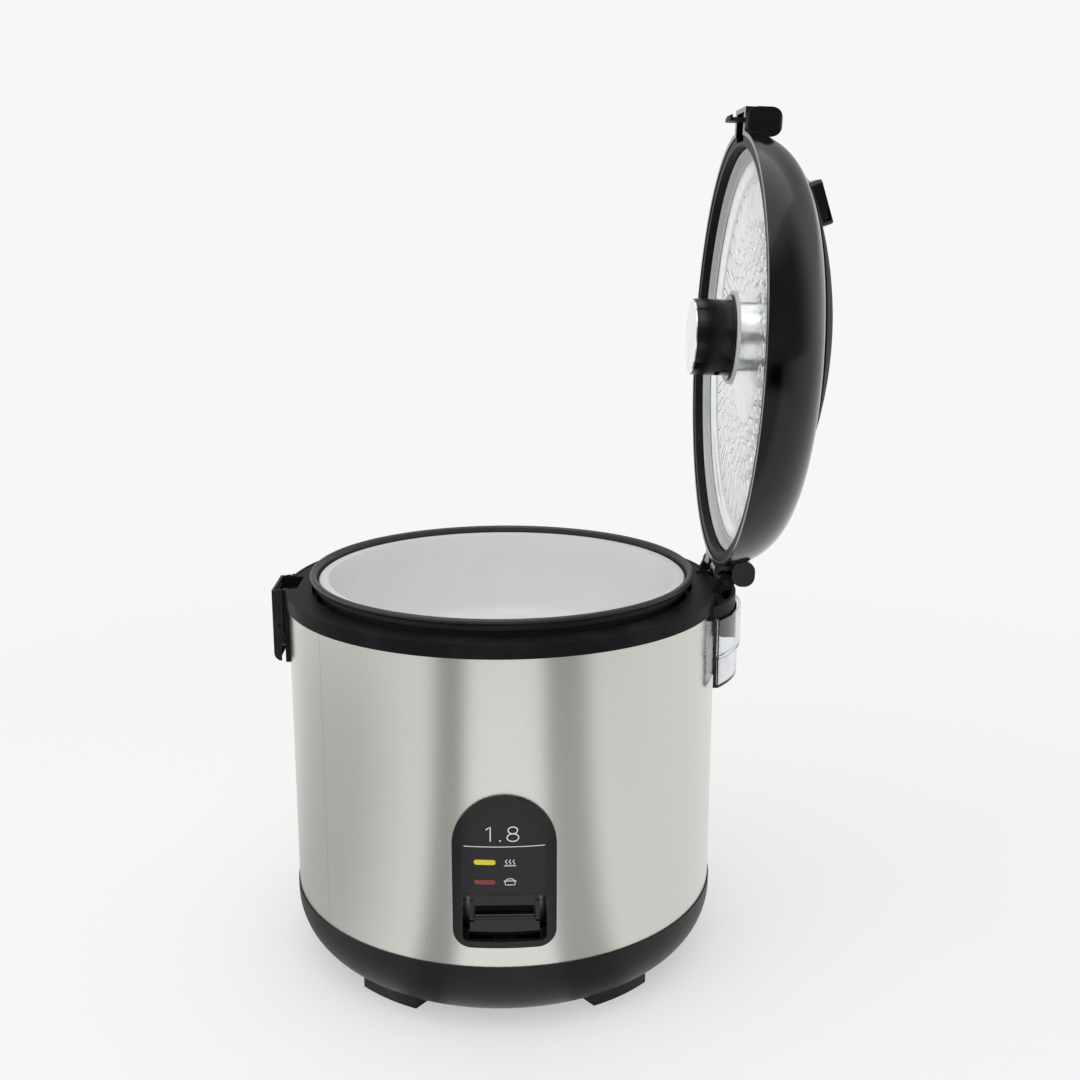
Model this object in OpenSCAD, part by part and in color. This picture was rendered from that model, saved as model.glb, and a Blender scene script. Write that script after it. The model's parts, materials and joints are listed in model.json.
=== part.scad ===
// Jar rice cooker with a hinged lid, a lift-out pot and a steam tray.
// Millimetres. Z is up and the origin is on the body's axis at table level.
// The lid's hinge is at +X, its latch at -X and the control panel at -Y.
// The lid stands open. Its pieces are drawn closed and turned by on_lid().

/* [Body] */
// Outer radius of the steel shell
shell_r = 128; // [126:0.5:134]
// Height of the steel shell
shell_h = 176; // [170:1:190]
// Thickness of the steel sheet
shell_t = 0.6; // [0.4:0.1:1]
// Height of the moulded base, from its underside to the steel
base_h = 35; // [34:0.5:40]
// How far the base's flat underside is set in from its side
base_round = 16.8; // [14:0.1:20]
// Wall thickness of the mouldings
wall = 2.5; // [2:0.1:3]
// Height of the feet
foot_h = 7; // [5:0.5:10]
// Length of a foot along the rim
foot_l = 40; // [30:1:46]
// Width of a foot, inwards from the rim
foot_w = 20; // [16:1:24]
// Angle of a foot from the front or the back
foot_angle = 37.3; // [35:0.1:45]

/* [Top ring] */
// Height of the ring above the steel
ring_h = 8; // [7:0.5:10]
// How far the ring stands out past the steel
ring_lip = 1.3; // [1:0.1:2]
// Width of the ring's flat top
ring_flat = 15.3; // [14:0.1:16]

/* [Pot] */
// Space between the outside of the steel and the inside of the pot
pot_gap = 20.5; // [20:0.5:24]
// Wall thickness of the pot
pot_t = 1.2; // [1:0.1:1.6]
// Height of the pot's underside above the steel's lower edge
pot_over = 41.5; // [40:0.5:46]
// Height of the pot's lip above the ring
pot_proud = 9; // [8:0.5:11]
// Outer corner radius at the pot's floor
pot_corner = 18; // [12:1:22]
// Width of the ledge inside the lip
ledge_w = 3.5; // [3:0.1:4]
// Depth of the ledge under the lip's top
ledge_drop = 5.5; // [5:0.1:7]
// Radius of the rolled lip
roll_r = 1.85; // [1.6:0.05:2.2]

/* [Steam tray] */
// Depth of the tray
tray_depth = 57; // [45:1:65]
// Wall thickness of the tray
tray_t = 1.2; // [1:0.1:1.5]
// How much narrower the tray's foot is than its top, in radius
tray_taper = 3.3; // [2:0.1:5]
// Corner radius at the tray's floor
tray_corner = 11; // [8:0.5:14]
// Radius of a steam hole
steam_hole_r = 2.2; // [1.5:0.1:3]

/* [Lid] */
// How far the lid's rim is set in from the steel
lid_inset = 3; // [2:0.5:4]
// Height of the dome over the rim
lid_rise = 47; // [44:0.5:52]
// Radius of the dome's shoulder
lid_shoulder = 36; // [33:0.5:38]
// Angle at which the lid stands open
open_angle = 92; // [90:0.5:95]
// Gap between the closed rim and the ring
lid_gap = 1; // [0.8:0.1:1.5]
// Distance of the hinge axis past the steel
hinge_out = 3; // [2.5:0.1:4]
// Height of the hinge axis above the ring
hinge_up = 5.5; // [5.5:0.1:7]
// Radius of the hinge pin
hinge_pin_r = 2.5; // [2:0.1:2.8]
// Width of the hinge between its two ears
hinge_w = 50; // [44:1:56]
// Width of the step round the inner lid's flat plate
plate_step = 7.9; // [7:0.1:13]
// Depth of the inner lid's dish
dish_h = 3.5; // [3:0.1:4.5]
// Height of the boss of the inner lid round the steam valve
boss_h = 8.5; // [7:0.5:10]
// Radius of the steam valve's cup
valve_r = 22; // [18:0.5:24]
// Distance of the steam valve from the lid's middle
valve_shift = 9; // [0:0.5:14]
// Length of the steam valve under its flange
valve_l = 22; // [14:0.5:26]

/* [Pod and vent] */
// Distance of the pod's edge from the lid's rim, on the latch's side
pod_rim = 21; // [18:0.5:24]
// Distance of the pod from the lid's middle
pod_shift = 19; // [12:0.5:20]
// Height of the pod's crown over its own edge
pod_bulge = 17; // [15:0.5:20]
// Height of the pod's edge over the dome
pod_edge = 1.4; // [1:0.1:2.5]
// Distance of the vent cap's middle from the pod's edge
vent_edge = 19; // [17:0.5:24]
// Length of the vent cap along the lid
vent_l = 26; // [22:0.5:30]
// Width of the vent cap
vent_w = 30; // [24:0.5:36]
// Height of the vent cap over the pod
vent_h = 9; // [7:0.5:12]

/* [Latch] */
// Width of the latch lever
latch_w = 36; // [30:0.5:40]
// Height of the latch lever
latch_h = 44; // [40:0.5:50]
// How far the latch lever stands out past the steel
latch_out = 8.4; // [8:0.1:10]
// Radius of the latch lever's pin
latch_pin_r = 1.25; // [1:0.05:1.4]
// Width of the block on the lid that covers the latch
block_w = 38; // [32:0.5:42]
// Height of that block
block_h = 21; // [18:0.5:24]

/* [Dew collector] */
// How far the drip collar stands out past the steel
collar_out = 13; // [12:0.5:15]
// Half of the drip collar's width
collar_half = 50; // [44:1:54]
// Height of the drip collar
collar_h = 8; // [7:0.5:10]
// How far the collector stands out past the steel
collector_out = 16.5; // [16:0.5:20]
// Half of the collector's width
collector_half = 48; // [40:1:52]
// Height of the collector
collector_h = 41.5; // [36:0.5:48]
// Wall thickness of the collector
collector_t = 1.5; // [1.2:0.1:2]

/* [Control panel] */
// Width of the panel
panel_w = 56.2; // [54:0.1:60]
// Height of the panel
panel_h = 87.7; // [86:0.1:92]
// Height of the panel's foot above the steel's lower edge
panel_low = 12.8; // [11:0.1:14]
// How far the panel stands out past the steel
panel_out = 2.2; // [1.8:0.1:3]
// Width of the recess round the cook key
recess_w = 45.4; // [42:0.1:47]
// Height of that recess
recess_h = 26.8; // [26:0.1:28]
// Width of the label inside the panel
label_w = 46.4; // [40:0.1:48]
// Height of the label
label_h = 49.4; // [46:0.1:50]
// Length of an indicator lens
lens_l = 11.6; // [9:0.1:14]
// Height of an indicator lens
lens_h = 2.8; // [2:0.1:4]

/* [Heater] */
// How far the heating plate is set in from the pot's inside
heater_inset = 17.5; // [14:0.5:26]
// Thickness of the heating plate
heater_t = 12; // [10:0.5:14]
// How far the heating element's coil is set in from the plate's edge
element_inset = 24; // [20:0.5:30]
// Radius of the heating element's tube
element_tube_r = 3.5; // [3:0.1:4]
// Gap between the pot and the liner
liner_gap = 2.8; // [2:0.1:3]
// Thickness of the liner's sheet
liner_t = 0.6; // [0.5:0.1:0.8]
// Height of the spacers under the heating plate
spacer_h = 12; // [10:0.5:14]
// Radius of the temperature sensor's cap
sensor_r = 16; // [14:0.5:18]
// Travel of the temperature sensor
sensor_travel = 2; // [1.5:0.1:2.5]

/* [Cook switch] */
// Distance of the rocker's pivot from the axis
pivot_y = 55; // [52:1:58]
// Drop of the rocker's pivot below the liner
pivot_drop = 18; // [16:0.5:20]
// Radius of the rocker's pivot pin
pivot_r = 1.5; // [1.2:0.1:2]
// Travel of the cook key, in degrees
cook_angle = 4.5; // [4:0.1:5]
// Width of the rocker arm
arm_w = 12; // [10:0.5:14]
// Thickness of the rocker arm
arm_t = 1.5; // [1:0.1:2]

/* [Power inlet] */
// Width of the power inlet
inlet_w = 34; // [30:1:36]
// Height of the power inlet
inlet_h = 25; // [24:0.5:26]
// Depth of the power inlet's socket
inlet_depth = 17; // [15:0.5:18]

/* [Clearances] */
// Gap between pieces that move past each other
play = 0.3; // [0.25:0.05:0.35]
// Gap round a push-fit or screwed piece
fit = 0.1; // [0.06:0.01:0.12]
// Gap round a pin that turns in its bore
run = 0.05; // [0.03:0.01:0.08]

/* [Hidden] */
$fn = 96;
eps = 0.01;

// Levels of the body
z_floor = foot_h + wall;
z_shell = foot_h + base_h;
z_steel = z_shell + shell_h;
z_ring = z_steel + ring_h;
shell_in = shell_r - shell_t;
ring_r = shell_r + ring_lip;
base_r = shell_r + 0.8;
base_flat_r = base_r - base_round;
base_arc_r = ((base_r - base_flat_r) ^ 2 + (base_h - 5) ^ 2) / (2 * (base_r - base_flat_r));

// Levels and radii of the pot and of what carries it
pot_r = shell_r - pot_gap;
z_lip = z_ring + pot_proud;
pot_floor_t = pot_t + 0.3;
z_pot = z_shell + pot_over;
pot_depth = z_lip - z_pot - pot_floor_t;
pot_out = pot_r + pot_t;
z_ledge = z_lip - ledge_drop;
lip_out = pot_out + ledge_w + 2 * roll_r - 0.9;
heater_r = pot_r - heater_inset;
element_r = heater_r - element_inset;
heater_top = z_pot - fit;
z_heater = heater_top - heater_t;
liner_r = pot_out + liner_gap;
z_liner = z_heater - spacer_h - liner_t;
liner_flange = 12;
sensor_hole = sensor_r + 2;
thermostat_at = element_r + 13;
element_ends = [70, 110];
boss_at = liner_r - 11.5;
boss_hole = 2;
ring_screw_at = ring_r - ring_flat + 5;

// Steam tray
tray_rim_r = pot_r + ledge_w - 1.5;
tray_r = pot_r - 2.5;
tray_rim_t = 1.6;
tray_top = z_ledge + fit + tray_rim_t;

// Lid, drawn closed
lid_r = shell_r - lid_inset;
z_lid = z_ring + lid_gap;
hinge_x = shell_r + hinge_out;
hinge_z = z_ring + hinge_up;
z_brim = z_lip + play + 0.7;
plate_t = 0.8;
z_plate = z_brim + dish_h;
z_boss = z_plate - boss_h;
z_frame = z_plate + plate_t + 0.4;
frame_t = 2;
frame_wall_r = lid_r - lid_shoulder - play
    + sqrt((lid_shoulder - wall) ^ 2 - (z_frame + frame_t - z_lid) ^ 2);
lid_screw_at = frame_wall_r - 20;
dome_r = ((lid_r - lid_shoulder) ^ 2 + lid_rise ^ 2 - lid_shoulder ^ 2)
    / (2 * (lid_rise - lid_shoulder));
dome_turn = atan2(dome_r - lid_rise, lid_r - lid_shoulder);
gasket_in = tray_rim_r + 0.1;
gasket_out = lip_out + 1;
plate_r = tray_rim_r - plate_step;
valve_stem_r = valve_r - 2;
seal_t = 2;
z_valve = z_boss - seal_t;
hinge_r = 4.8;
ear_t = 4.5;
tail_x = 1.5;
tail_z = 16;

// Pod: a round cap through two points of its edge, on the latch's side and the hinge's side
pod_r = lid_r - pod_rim - pod_shift;
vent_x = pod_r + pod_shift - vent_edge;
pod_low = [-pod_shift - pod_r, dome_z(pod_shift + pod_r) + pod_edge];
pod_high = [pod_r - pod_shift, dome_z(pod_r - pod_shift) + pod_edge];
pod_chord = norm(pod_high - pod_low) / 2;
pod_cap_r = (pod_chord ^ 2 + pod_bulge ^ 2) / (2 * pod_bulge);
pod_up = [pod_low[1] - pod_high[1], pod_high[0] - pod_low[0]] / (2 * pod_chord);
pod_centre = (pod_low + pod_high) / 2 - pod_up * (pod_cap_r - pod_bulge);
vent_turn = asin((vent_x + pod_centre[0]) / pod_cap_r);
vent_seat = -0.8;
vent_plug = [vent_l - 6, vent_w - 6, 7];

// Latch on the ring
latch_x = shell_r + latch_out;
z_latch = z_ring - latch_h;
latch_wall = 1.6;
latch_lug_r = 2.1;
latch_pivot_x = latch_x - latch_wall - latch_lug_r - play;
latch_pivot_z = z_ring - 22;
bracket_r = shell_r + 2.8;
hook_x = latch_x - 4.8;
z_hook = z_steel + 1.9;
slot_top = z_lid + 13.5;

// Drip collar and dew collector
z_collar = z_ring - 4 - collar_h;
holder_t = 2.3;
z_collector = z_collar - play - collector_h;
step_h = 18;
spout_l = collector_h - step_h - collector_t - 0.5;

// Control panel
z_panel = z_shell + panel_low;
z_panel_top = z_panel + panel_h;
bezel_back = shell_r - 4;
z_recess = z_panel + 3.7;
z_label = z_recess + recess_h + 1.4;
label_t = 0.5;
lens_x = -10.5;
z_warm = z_label + 18.6;
z_cook = z_label + 7.2;
lamp_y = bezel_back - 5;
lamp_r = 2;

// Cook switch
z_pivot = z_liner - pivot_drop;
arm_front = liner_r + 5.5;
key_low = z_recess + 8;
key_half = recess_w / 2 - 3.6;
skirt_r = shell_r - 3.2;
magnet_rise = pivot_y * sin(cook_angle);
ferrite_t = 4;
magnet_t = 5;
magnet_top = heater_top - 1 - ferrite_t - sensor_travel - magnet_rise - play;
rod_r = 3.4;
stem_r = 6;
cheek_x = arm_w / 2 + 1;
cheek_t = 1.5;
switch_x = cheek_x + cheek_t + 5;
switch_y = pivot_y + 17;
z_guide = z_liner - 5;

// Power inlet
inlet_z = foot_h + 19.5;
inlet_y = base_r - 4.8;

// Points of an arc round c
function arc(c, r, from, to, n = 12) =
    [for (i = [0:n]) let (a = from + (to - from) * i / n) c + r * [cos(a), sin(a)]];

// A list from its end to its start
function reversed(list) = [for (i = [len(list) - 1:-1:0]) list[i]];

// Outline of the lid's dome, set in by a wall, from the rim to the axis
function dome(inset = 0) = concat(
    arc([lid_r - lid_shoulder, 0], lid_shoulder - inset, 0, dome_turn, 14),
    arc([0, lid_rise - dome_r], dome_r - inset, dome_turn, 90, 10));

// Height of the dome over the rim at radius r
function dome_z(r) = r < dome_r * cos(dome_turn)
    ? lid_rise - dome_r + sqrt(dome_r ^ 2 - r ^ 2)
    : sqrt(lid_shoulder ^ 2 - (r - lid_r + lid_shoulder) ^ 2);

// Radius of a bulge that reaches x = out and meets the circle r at y = half
function bulge_r(out, half, r) =
    let (d = out - sqrt(r ^ 2 - half ^ 2)) (d ^ 2 + half ^ 2) / (2 * d);

module tube(r_out, r_in, z, h) {
    translate([0, 0, z]) difference() {
        cylinder(r = r_out, h = h);
        translate([0, 0, -1]) cylinder(r = r_in, h = h + 2);
    }
}

// A box centred on X and Y
module slab(size, z) {
    translate([-size[0] / 2, -size[1] / 2, z]) cube(size);
}

module round_rect(size, r) {
    square([size[0] - 2 * r, size[1]], center = true);
    square([size[0], size[1] - 2 * r], center = true);
    for (x = [-1, 1], y = [-1, 1])
        translate([x * (size[0] / 2 - r), y * (size[1] / 2 - r)]) circle(r);
}

// Stands a flat outline up at the front, from y = -near to y = -far
module at_front(near, far) {
    translate([0, -near, 0]) rotate([90, 0, 0]) linear_extrude(far - near) children();
}

// Stretches a flat outline, drawn in X and Z, along Y
module along_y(width) {
    translate([0, width / 2, 0]) rotate([90, 0, 0]) linear_extrude(width) children();
}

// A pin along Y at x, z
module y_pin(x, z, r, l) {
    translate([x, 0, z]) rotate([90, 0, 0]) cylinder(r = r, h = l, center = true);
}

// A pin along X at y, z
module x_pin(y, z, r, l) {
    translate([0, y, z]) rotate([0, 90, 0]) cylinder(r = r, h = l, center = true);
}

module on_lid() {
    translate([hinge_x, 0, hinge_z]) rotate([0, open_angle, 0])
        translate([-hinge_x, 0, -hinge_z]) children();
}

// Four places round the axis, at radius r
module four(r, turn = 45) {
    for (i = [0:3]) rotate([0, 0, turn + 90 * i]) translate([r, 0, 0]) children();
}

// A coil of round wire with flat-lying ends
module coil(r, wire, h, turns) {
    steps = 14;
    sides = 6;
    n = turns * steps;
    points = [for (i = [0:n], k = [0:sides - 1])
        let (a = 360 * i / steps, b = 360 * k / sides, q = r + wire * cos(b))
        [q * cos(a), q * sin(a), wire + (h - 2 * wire) * i / n + wire * sin(b)]];
    walls = [for (i = [0:n - 1], k = [0:sides - 1])
        let (a = i * sides, b = a + sides, m = (k + 1) % sides)
        [a + k, b + k, b + m, a + m]];
    polyhedron(points, concat(
        [[for (k = [0:sides - 1]) k]],
        walls,
        [[for (k = [sides - 1:-1:0]) n * sides + k]]));
}

module screw(shank_r, shank_l, head_r, head_h) {
    cylinder(r = shank_r, h = shank_l);
    translate([0, 0, -head_h]) cylinder(r = head_r, h = head_h);
}

// ---- Base and shell ----

function base_curve(inset) =
    let (c = [base_r - base_arc_r, z_shell - 5], r = base_arc_r - inset,
         low = -asin((base_h - 5 - inset) / r))
    concat(arc(c, r, low, 0, 16), [[base_r - inset, z_shell]]);

module foot_place() {
    for (i = [0, 180], s = [-1, 1])
        rotate([0, 0, -90 + i + s * foot_angle]) children();
}

module base_cup() {
    color("#1b1b1c") difference() {
        union() {
            rotate_extrude() polygon(concat(
                [[0, foot_h]], base_curve(0),
                reversed(base_curve(wall)), [[0, z_floor]]));
            tube(shell_in - fit, shell_in - fit - 2, z_shell - 12, 18);
            four(boss_at, 20) translate([0, 0, foot_h]) cylinder(r = 6, h = z_liner - foot_h);
        }
        four(boss_at, 20) cylinder(r = boss_hole, h = z_liner + 1);
        four(boss_at, 20) cylinder(r = 4.2, h = z_floor - 0.5);
        // Air slots, except under the switch
        for (i = [0:23]) if (abs(15 * i + 7.5 - 270) > 30) rotate([0, 0, 15 * i + 7.5])
            translate([34, -1.5, 0]) cube([46, 3, z_floor + 1]);
        foot_place() translate([base_flat_r - foot_w / 2, 0, 0])
            cylinder(r = 3 + fit, h = z_floor + 1);
        translate([0, inlet_y - 20, inlet_z]) rotate([-90, 0, 0])
            linear_extrude(40) round_rect([inlet_w + 2 * fit, inlet_h + 2 * fit], 3);
    }
}

module feet() {
    color("#161617") foot_place() {
        intersection() {
            tube(base_flat_r, base_flat_r - foot_w, 0, foot_h);
            translate([0, -foot_l / 2, 0]) cube([base_flat_r + 1, foot_l, foot_h]);
        }
        translate([base_flat_r - foot_w / 2, 0, 0]) cylinder(r = 3, h = z_floor + 1);
    }
}

module base_screws() {
    color("#a8a8a6") four(boss_at, 20) translate([0, 0, z_floor - 0.5])
        screw(boss_hole - fit, z_liner - z_floor + 3, 3.8, 2);
}

module outer_shell() {
    color("#b9b7b0") difference() {
        tube(shell_r, shell_in, z_shell, shell_h);
        at_front(shell_in - 9, shell_r + 9) panel_outline(3 - play);
    }
}

// Outline of the panel, set in by a margin
module panel_outline(inset = 0) {
    half = panel_w / 2 - inset;
    corner = 10 - inset;
    translate([0, z_panel_top - panel_w / 2]) circle(half);
    translate([-half, z_panel + inset + corner])
        square([2 * half, panel_h - inset - corner - panel_w / 2]);
    translate([corner - half, z_panel + inset]) square([2 * (half - corner), 2 * corner]);
    for (s = [-1, 1]) translate([s * (half - corner), z_panel + inset + corner])
        circle(corner);
}

module top_ring() {
    flat = z_ring - 0.4;
    inner = ring_r - ring_flat;
    color("#1e1e1f") difference() {
        union() {
            rotate_extrude() polygon([
                [ring_r, z_steel], [ring_r, z_ring], [ring_r - 1, z_ring],
                [ring_r - 1.4, flat], [inner, flat], [inner, z_steel + 2],
                [liner_r + play, z_steel + 2], [liner_r + play, z_steel],
                [inner + 2, z_steel], [inner + 2, flat - wall],
                [shell_in - fit - 2, flat - wall], [shell_in - fit - 2, z_steel - 8],
                [shell_in - fit, z_steel - 8], [shell_in - fit, z_steel]]);
            four(ring_screw_at) translate([0, 0, z_steel])
                cylinder(r = 3, h = flat - z_steel - 1);
            latch_bracket();
            drip_collar();
            for (s = [-1, 1]) translate([0, s * (hinge_w + ear_t) / 2, 0]) hinge_ear();
        }
        // Pocket for the hook, behind the latch lever
        translate([-bracket_r - 9, -latch_w / 2 + 4, z_steel + 1.5])
            cube([18, latch_w - 8, ring_h + 1]);
        // Way for the dew to run off the lid into the drip collar
        translate([inner + 6, -hinge_w / 2 + 4, flat - 1]) cube([20, hinge_w - 8, 5]);
        y_pin(hinge_x, hinge_z, hinge_pin_r + run, hinge_w + 3 * ear_t);
        y_pin(-latch_pivot_x, latch_pivot_z, latch_pin_r + 0.02, latch_w);
        four(ring_screw_at) translate([0, 0, z_steel - 1]) cylinder(r = 1.4 + run, h = 6.5);
    }
}

module hinge_ear() {
    along_y(ear_t) {
        translate([hinge_x, hinge_z]) circle(hinge_r + 0.2);
        polygon([[hinge_x - hinge_r - 0.2, hinge_z], [hinge_x - 8, z_ring - 1],
            [shell_r + 1, z_ring - 1], [hinge_x + hinge_r, hinge_z]]);
    }
}

module latch_bracket() {
    intersection() {
        tube(bracket_r, shell_r, z_latch, latch_h);
        translate([-shell_r - 10, -latch_w / 2 - 2, 0])
            cube([30, latch_w + 4, z_ring]);
    }
    for (s = [-1, 1]) translate([0, s * (latch_w / 2 - 4), 0]) along_y(2.5) {
        translate([-latch_pivot_x, latch_pivot_z]) circle(latch_lug_r);
        translate([-latch_pivot_x, latch_pivot_z - latch_lug_r]) square([4, 2 * latch_lug_r]);
    }
}

// Flat outline of a bulge outside the circle r, with blunt ends. Its inside is set in by a
// wall, and by another one at its back.
module bulge(out, half, r, inset = 0, back = 0) {
    q = bulge_r(out, half + 5, r);
    difference() {
        intersection() {
            translate([out - q, 0]) circle(q - inset);
            translate([0, inset - half]) square([out, 2 * (half - inset)]);
        }
        circle(r + back);
    }
}

module drip_collar() {
    out = shell_r + collar_out;
    floor_t = 2;
    difference() {
        translate([0, 0, z_collar]) linear_extrude(collar_h)
            bulge(out, collar_half, shell_r);
        translate([0, 0, z_collar + floor_t]) linear_extrude(collar_h)
            bulge(out, collar_half, shell_r, 2, 1.6);
        translate([shell_r + 6, -10, z_collar - 1]) cube([5.5, 20, floor_t + 2]);
    }
    // Spout that leads the dew into the collector
    difference() {
        translate([shell_r + 4.6, -11.5, z_collar - spout_l]) cube([8.4, 23, spout_l]);
        translate([shell_r + 6, -10, z_collar - spout_l - 1]) cube([5.5, 20, spout_l + 2]);
    }
    // The collar's outer wall rises to the ring at its two ends
    intersection() {
        tube(ring_r, shell_r, z_collar, z_ring - 1 - z_collar);
        for (s = [-1, 1]) translate([shell_r - 28, s * (collar_half - 6) - 4, 0])
            cube([60, 8, z_ring]);
    }
}

module ring_screws() {
    color("#a8a8a6") four(ring_screw_at) translate([0, 0, z_steel - liner_t])
        screw(1.4, 5.5, 2.8, 1.8);
}

// ---- Heater ----

module inner_liner() {
    color("#c4c5c6") difference() {
        union() {
            tube(liner_r + liner_t, liner_r, z_liner, z_steel - z_liner);
            tube(liner_r + liner_flange, liner_r, z_steel - liner_t, liner_t);
            translate([0, 0, z_liner]) cylinder(r = liner_r + eps, h = liner_t);
        }
        translate([0, 0, z_liner - 1]) cylinder(r = sensor_hole, h = liner_t + 2);
        four(boss_at, 20) translate([0, 0, z_liner - 1]) cylinder(r = boss_hole, h = 3);
        four(ring_screw_at) translate([0, 0, z_steel - 1]) cylinder(r = 1.7, h = 2);
        for (a = element_ends) rotate([0, 0, a]) translate([element_r, 0, z_liner - 1])
            cylinder(r = 6, h = liner_t + 2);
        rotate([0, 0, 200]) translate([thermostat_at, 0, z_liner - 1]) cylinder(r = 4, h = 3);
    }
}

module element_path(r) {
    rotate([0, 0, element_ends[1]]) rotate_extrude(angle = 360 - element_ends[1] + element_ends[0])
        translate([element_r, 0]) circle(r);
    for (a = element_ends) rotate([0, 0, a]) translate([element_r, 0, -spacer_h - 8])
        cylinder(r = r, h = spacer_h + 8);
}

module heating_plate() {
    color("#b3b4b5") difference() {
        rotate_extrude() polygon([
            [sensor_hole, z_heater], [heater_r - 1.5, z_heater], [heater_r, z_heater + 1.5],
            [heater_r, heater_top - 1.5], [heater_r - 1.5, heater_top],
            [sensor_hole + 1, heater_top], [sensor_hole, heater_top - 1]]);
        translate([0, 0, z_heater + element_tube_r - 1]) element_path(element_tube_r + fit);
        four(heater_r - 9, 0) translate([0, 0, z_heater - 1]) cylinder(r = 2 + fit, h = 7);
    }
}

module heating_element() {
    color("#6f6b66") translate([0, 0, z_heater + element_tube_r - 1])
        difference() {
            element_path(element_tube_r);
            for (a = element_ends) rotate([0, 0, a])
                translate([element_r, 0, -spacer_h - 9]) cylinder(r = 1.5, h = 4);
        }
}

module plate_spacers() {
    color("#a8a8a6") four(heater_r - 9, 0) {
        difference() {
            translate([0, 0, z_liner + liner_t]) cylinder(r = 5, h = spacer_h);
            translate([0, 0, z_liner]) cylinder(r = 2 + fit, h = spacer_h + 2);
        }
        translate([0, 0, z_liner + liner_t + 1]) cylinder(r = 2, h = spacer_h + 4);
    }
}

module band_heater() {
    color("#8b8a86") difference() {
        tube(liner_r + liner_t + 1.6, liner_r + liner_t, z_heater + 50, 22);
        translate([0, -6, z_heater]) cube([liner_r + 20, 12, 100]);
    }
}

module thermal_fuse() {
    color("#d9d4c6") rotate([0, 0, -35]) translate([48, 0, z_liner + liner_t]) {
        translate([-7, 0, 3]) rotate([0, 90, 0]) cylinder(r = 2.2, h = 14);
        slab([8, 6, 3], 0);
    }
}

module warm_thermostat() {
    color("#4a4038") rotate([0, 0, 200]) translate([thermostat_at, 0, 0]) {
        translate([0, 0, z_heater - 7.5]) cylinder(r = 8, h = 7.5);
        translate([0, 0, z_liner - 4]) cylinder(r = 3, h = 10);
    }
}

module sensor_cap() {
    cap_h = 12;
    top = heater_top;
    color("#c9cacb") {
        difference() {
            translate([0, 0, top - cap_h]) cylinder(r = sensor_r, h = cap_h);
            translate([0, 0, top - cap_h - 1]) cylinder(r = sensor_r - 1, h = cap_h);
        }
        difference() {
            translate([0, 0, top - 1 - ferrite_t]) cylinder(r = sensor_r - 3, h = ferrite_t);
            translate([0, 0, top - 2 - ferrite_t]) cylinder(r = 2, h = 2);
        }
    }
    // Stem with a foot that stops the cap's rise
    color("#c9cacb") {
        difference() {
            union() {
                translate([0, 0, z_guide - 3]) cylinder(r = stem_r, h = 3 + 9);
                translate([0, 0, z_guide - 3]) cylinder(r = stem_r + 2, h = 3 - fit);
                translate([0, 0, z_guide + 6]) cylinder(r = 13, h = 1.2);
                for (a = [0, 120, 240]) rotate([0, 0, a])
                    translate([sensor_r - 4, -2, z_guide + 6])
                        cube([3.5, 4, top - 0.5 - z_guide - 6]);
            }
            translate([0, 0, z_guide - 5]) cylinder(r = rod_r + play, h = 20);
        }
    }
}

module sensor_bracket() {
    leg_r = sensor_hole + 6;
    color("#b0b1b2") difference() {
        union() {
            slab([2 * leg_r, 16, 1.2], z_guide);
            for (s = [-1, 1]) translate([s * (leg_r - 0.6), 0, 0]) {
                slab([1.2, 16, z_liner - z_guide], z_guide);
                translate([s * 4, 0, 0]) slab([8, 16, 1.2], z_liner - 1.2);
            }
        }
        translate([0, 0, z_guide - 1]) cylinder(r = stem_r + fit, h = 4);
    }
}

module sensor_spring() {
    color("#9d9d9b") translate([0, 0, z_guide + 1.2]) coil(8.5, 0.5, 4.8, 3);
}

module magnet() {
    color("#3b3b3d") difference() {
        translate([0, 0, magnet_top - magnet_t]) cylinder(r = 10, h = magnet_t);
        translate([0, 0, magnet_top - magnet_t - 1]) cylinder(r = rod_r - 1 + fit, h = 4);
    }
}

module magnet_rod() {
    foot = z_pivot + arm_t / 2 + play;
    color("#c2a14d") {
        translate([0, 0, foot]) cylinder(r = rod_r, h = magnet_top - magnet_t - foot);
        translate([0, 0, foot]) cylinder(r = rod_r - 1, h = magnet_top - magnet_t - foot + 3);
        translate([0, 0, foot]) cylinder(r = rod_r + 2, h = 1.5);
    }
}

// ---- Cook switch ----

module cook_key() {
    color("#131315") difference() {
        union() {
            translate([0, -arm_front - arm_t - 0.5, 0])
                slab([2 * key_half, 7, z_recess + recess_h - 2 - key_low], key_low);
            // Skirt that covers the arm
            intersection() {
                translate([0, -skirt_r + 2.9, 0])
                    slab([2 * key_half, 5.8, key_low + 2 - z_recess], z_recess + 0.8);
                cylinder(r = skirt_r, h = z_panel_top);
            }
            hull() {
                x_pin(-shell_r + 1.5, key_low + 5.5, 1.8, 2 * key_half - 6, $fn = 32);
                x_pin(-arm_front - 5, key_low + 5.5, 2.6, 2 * key_half - 6, $fn = 32);
            }
            for (s = [-1, 1]) translate([s * (key_half - 1.2), 0, 0]) hull() {
                x_pin(-shell_r + 4.5, key_low + 3, 1.5, 2.4, $fn = 32);
                translate([0, -arm_front - 5, 0]) slab([2.4, 2, 13], key_low);
            }
        }
        translate([0, -arm_front - arm_t / 2, 0])
            slab([arm_w + 2 * fit, arm_t + 2 * fit, 20], key_low - 1);
    }
}

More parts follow.
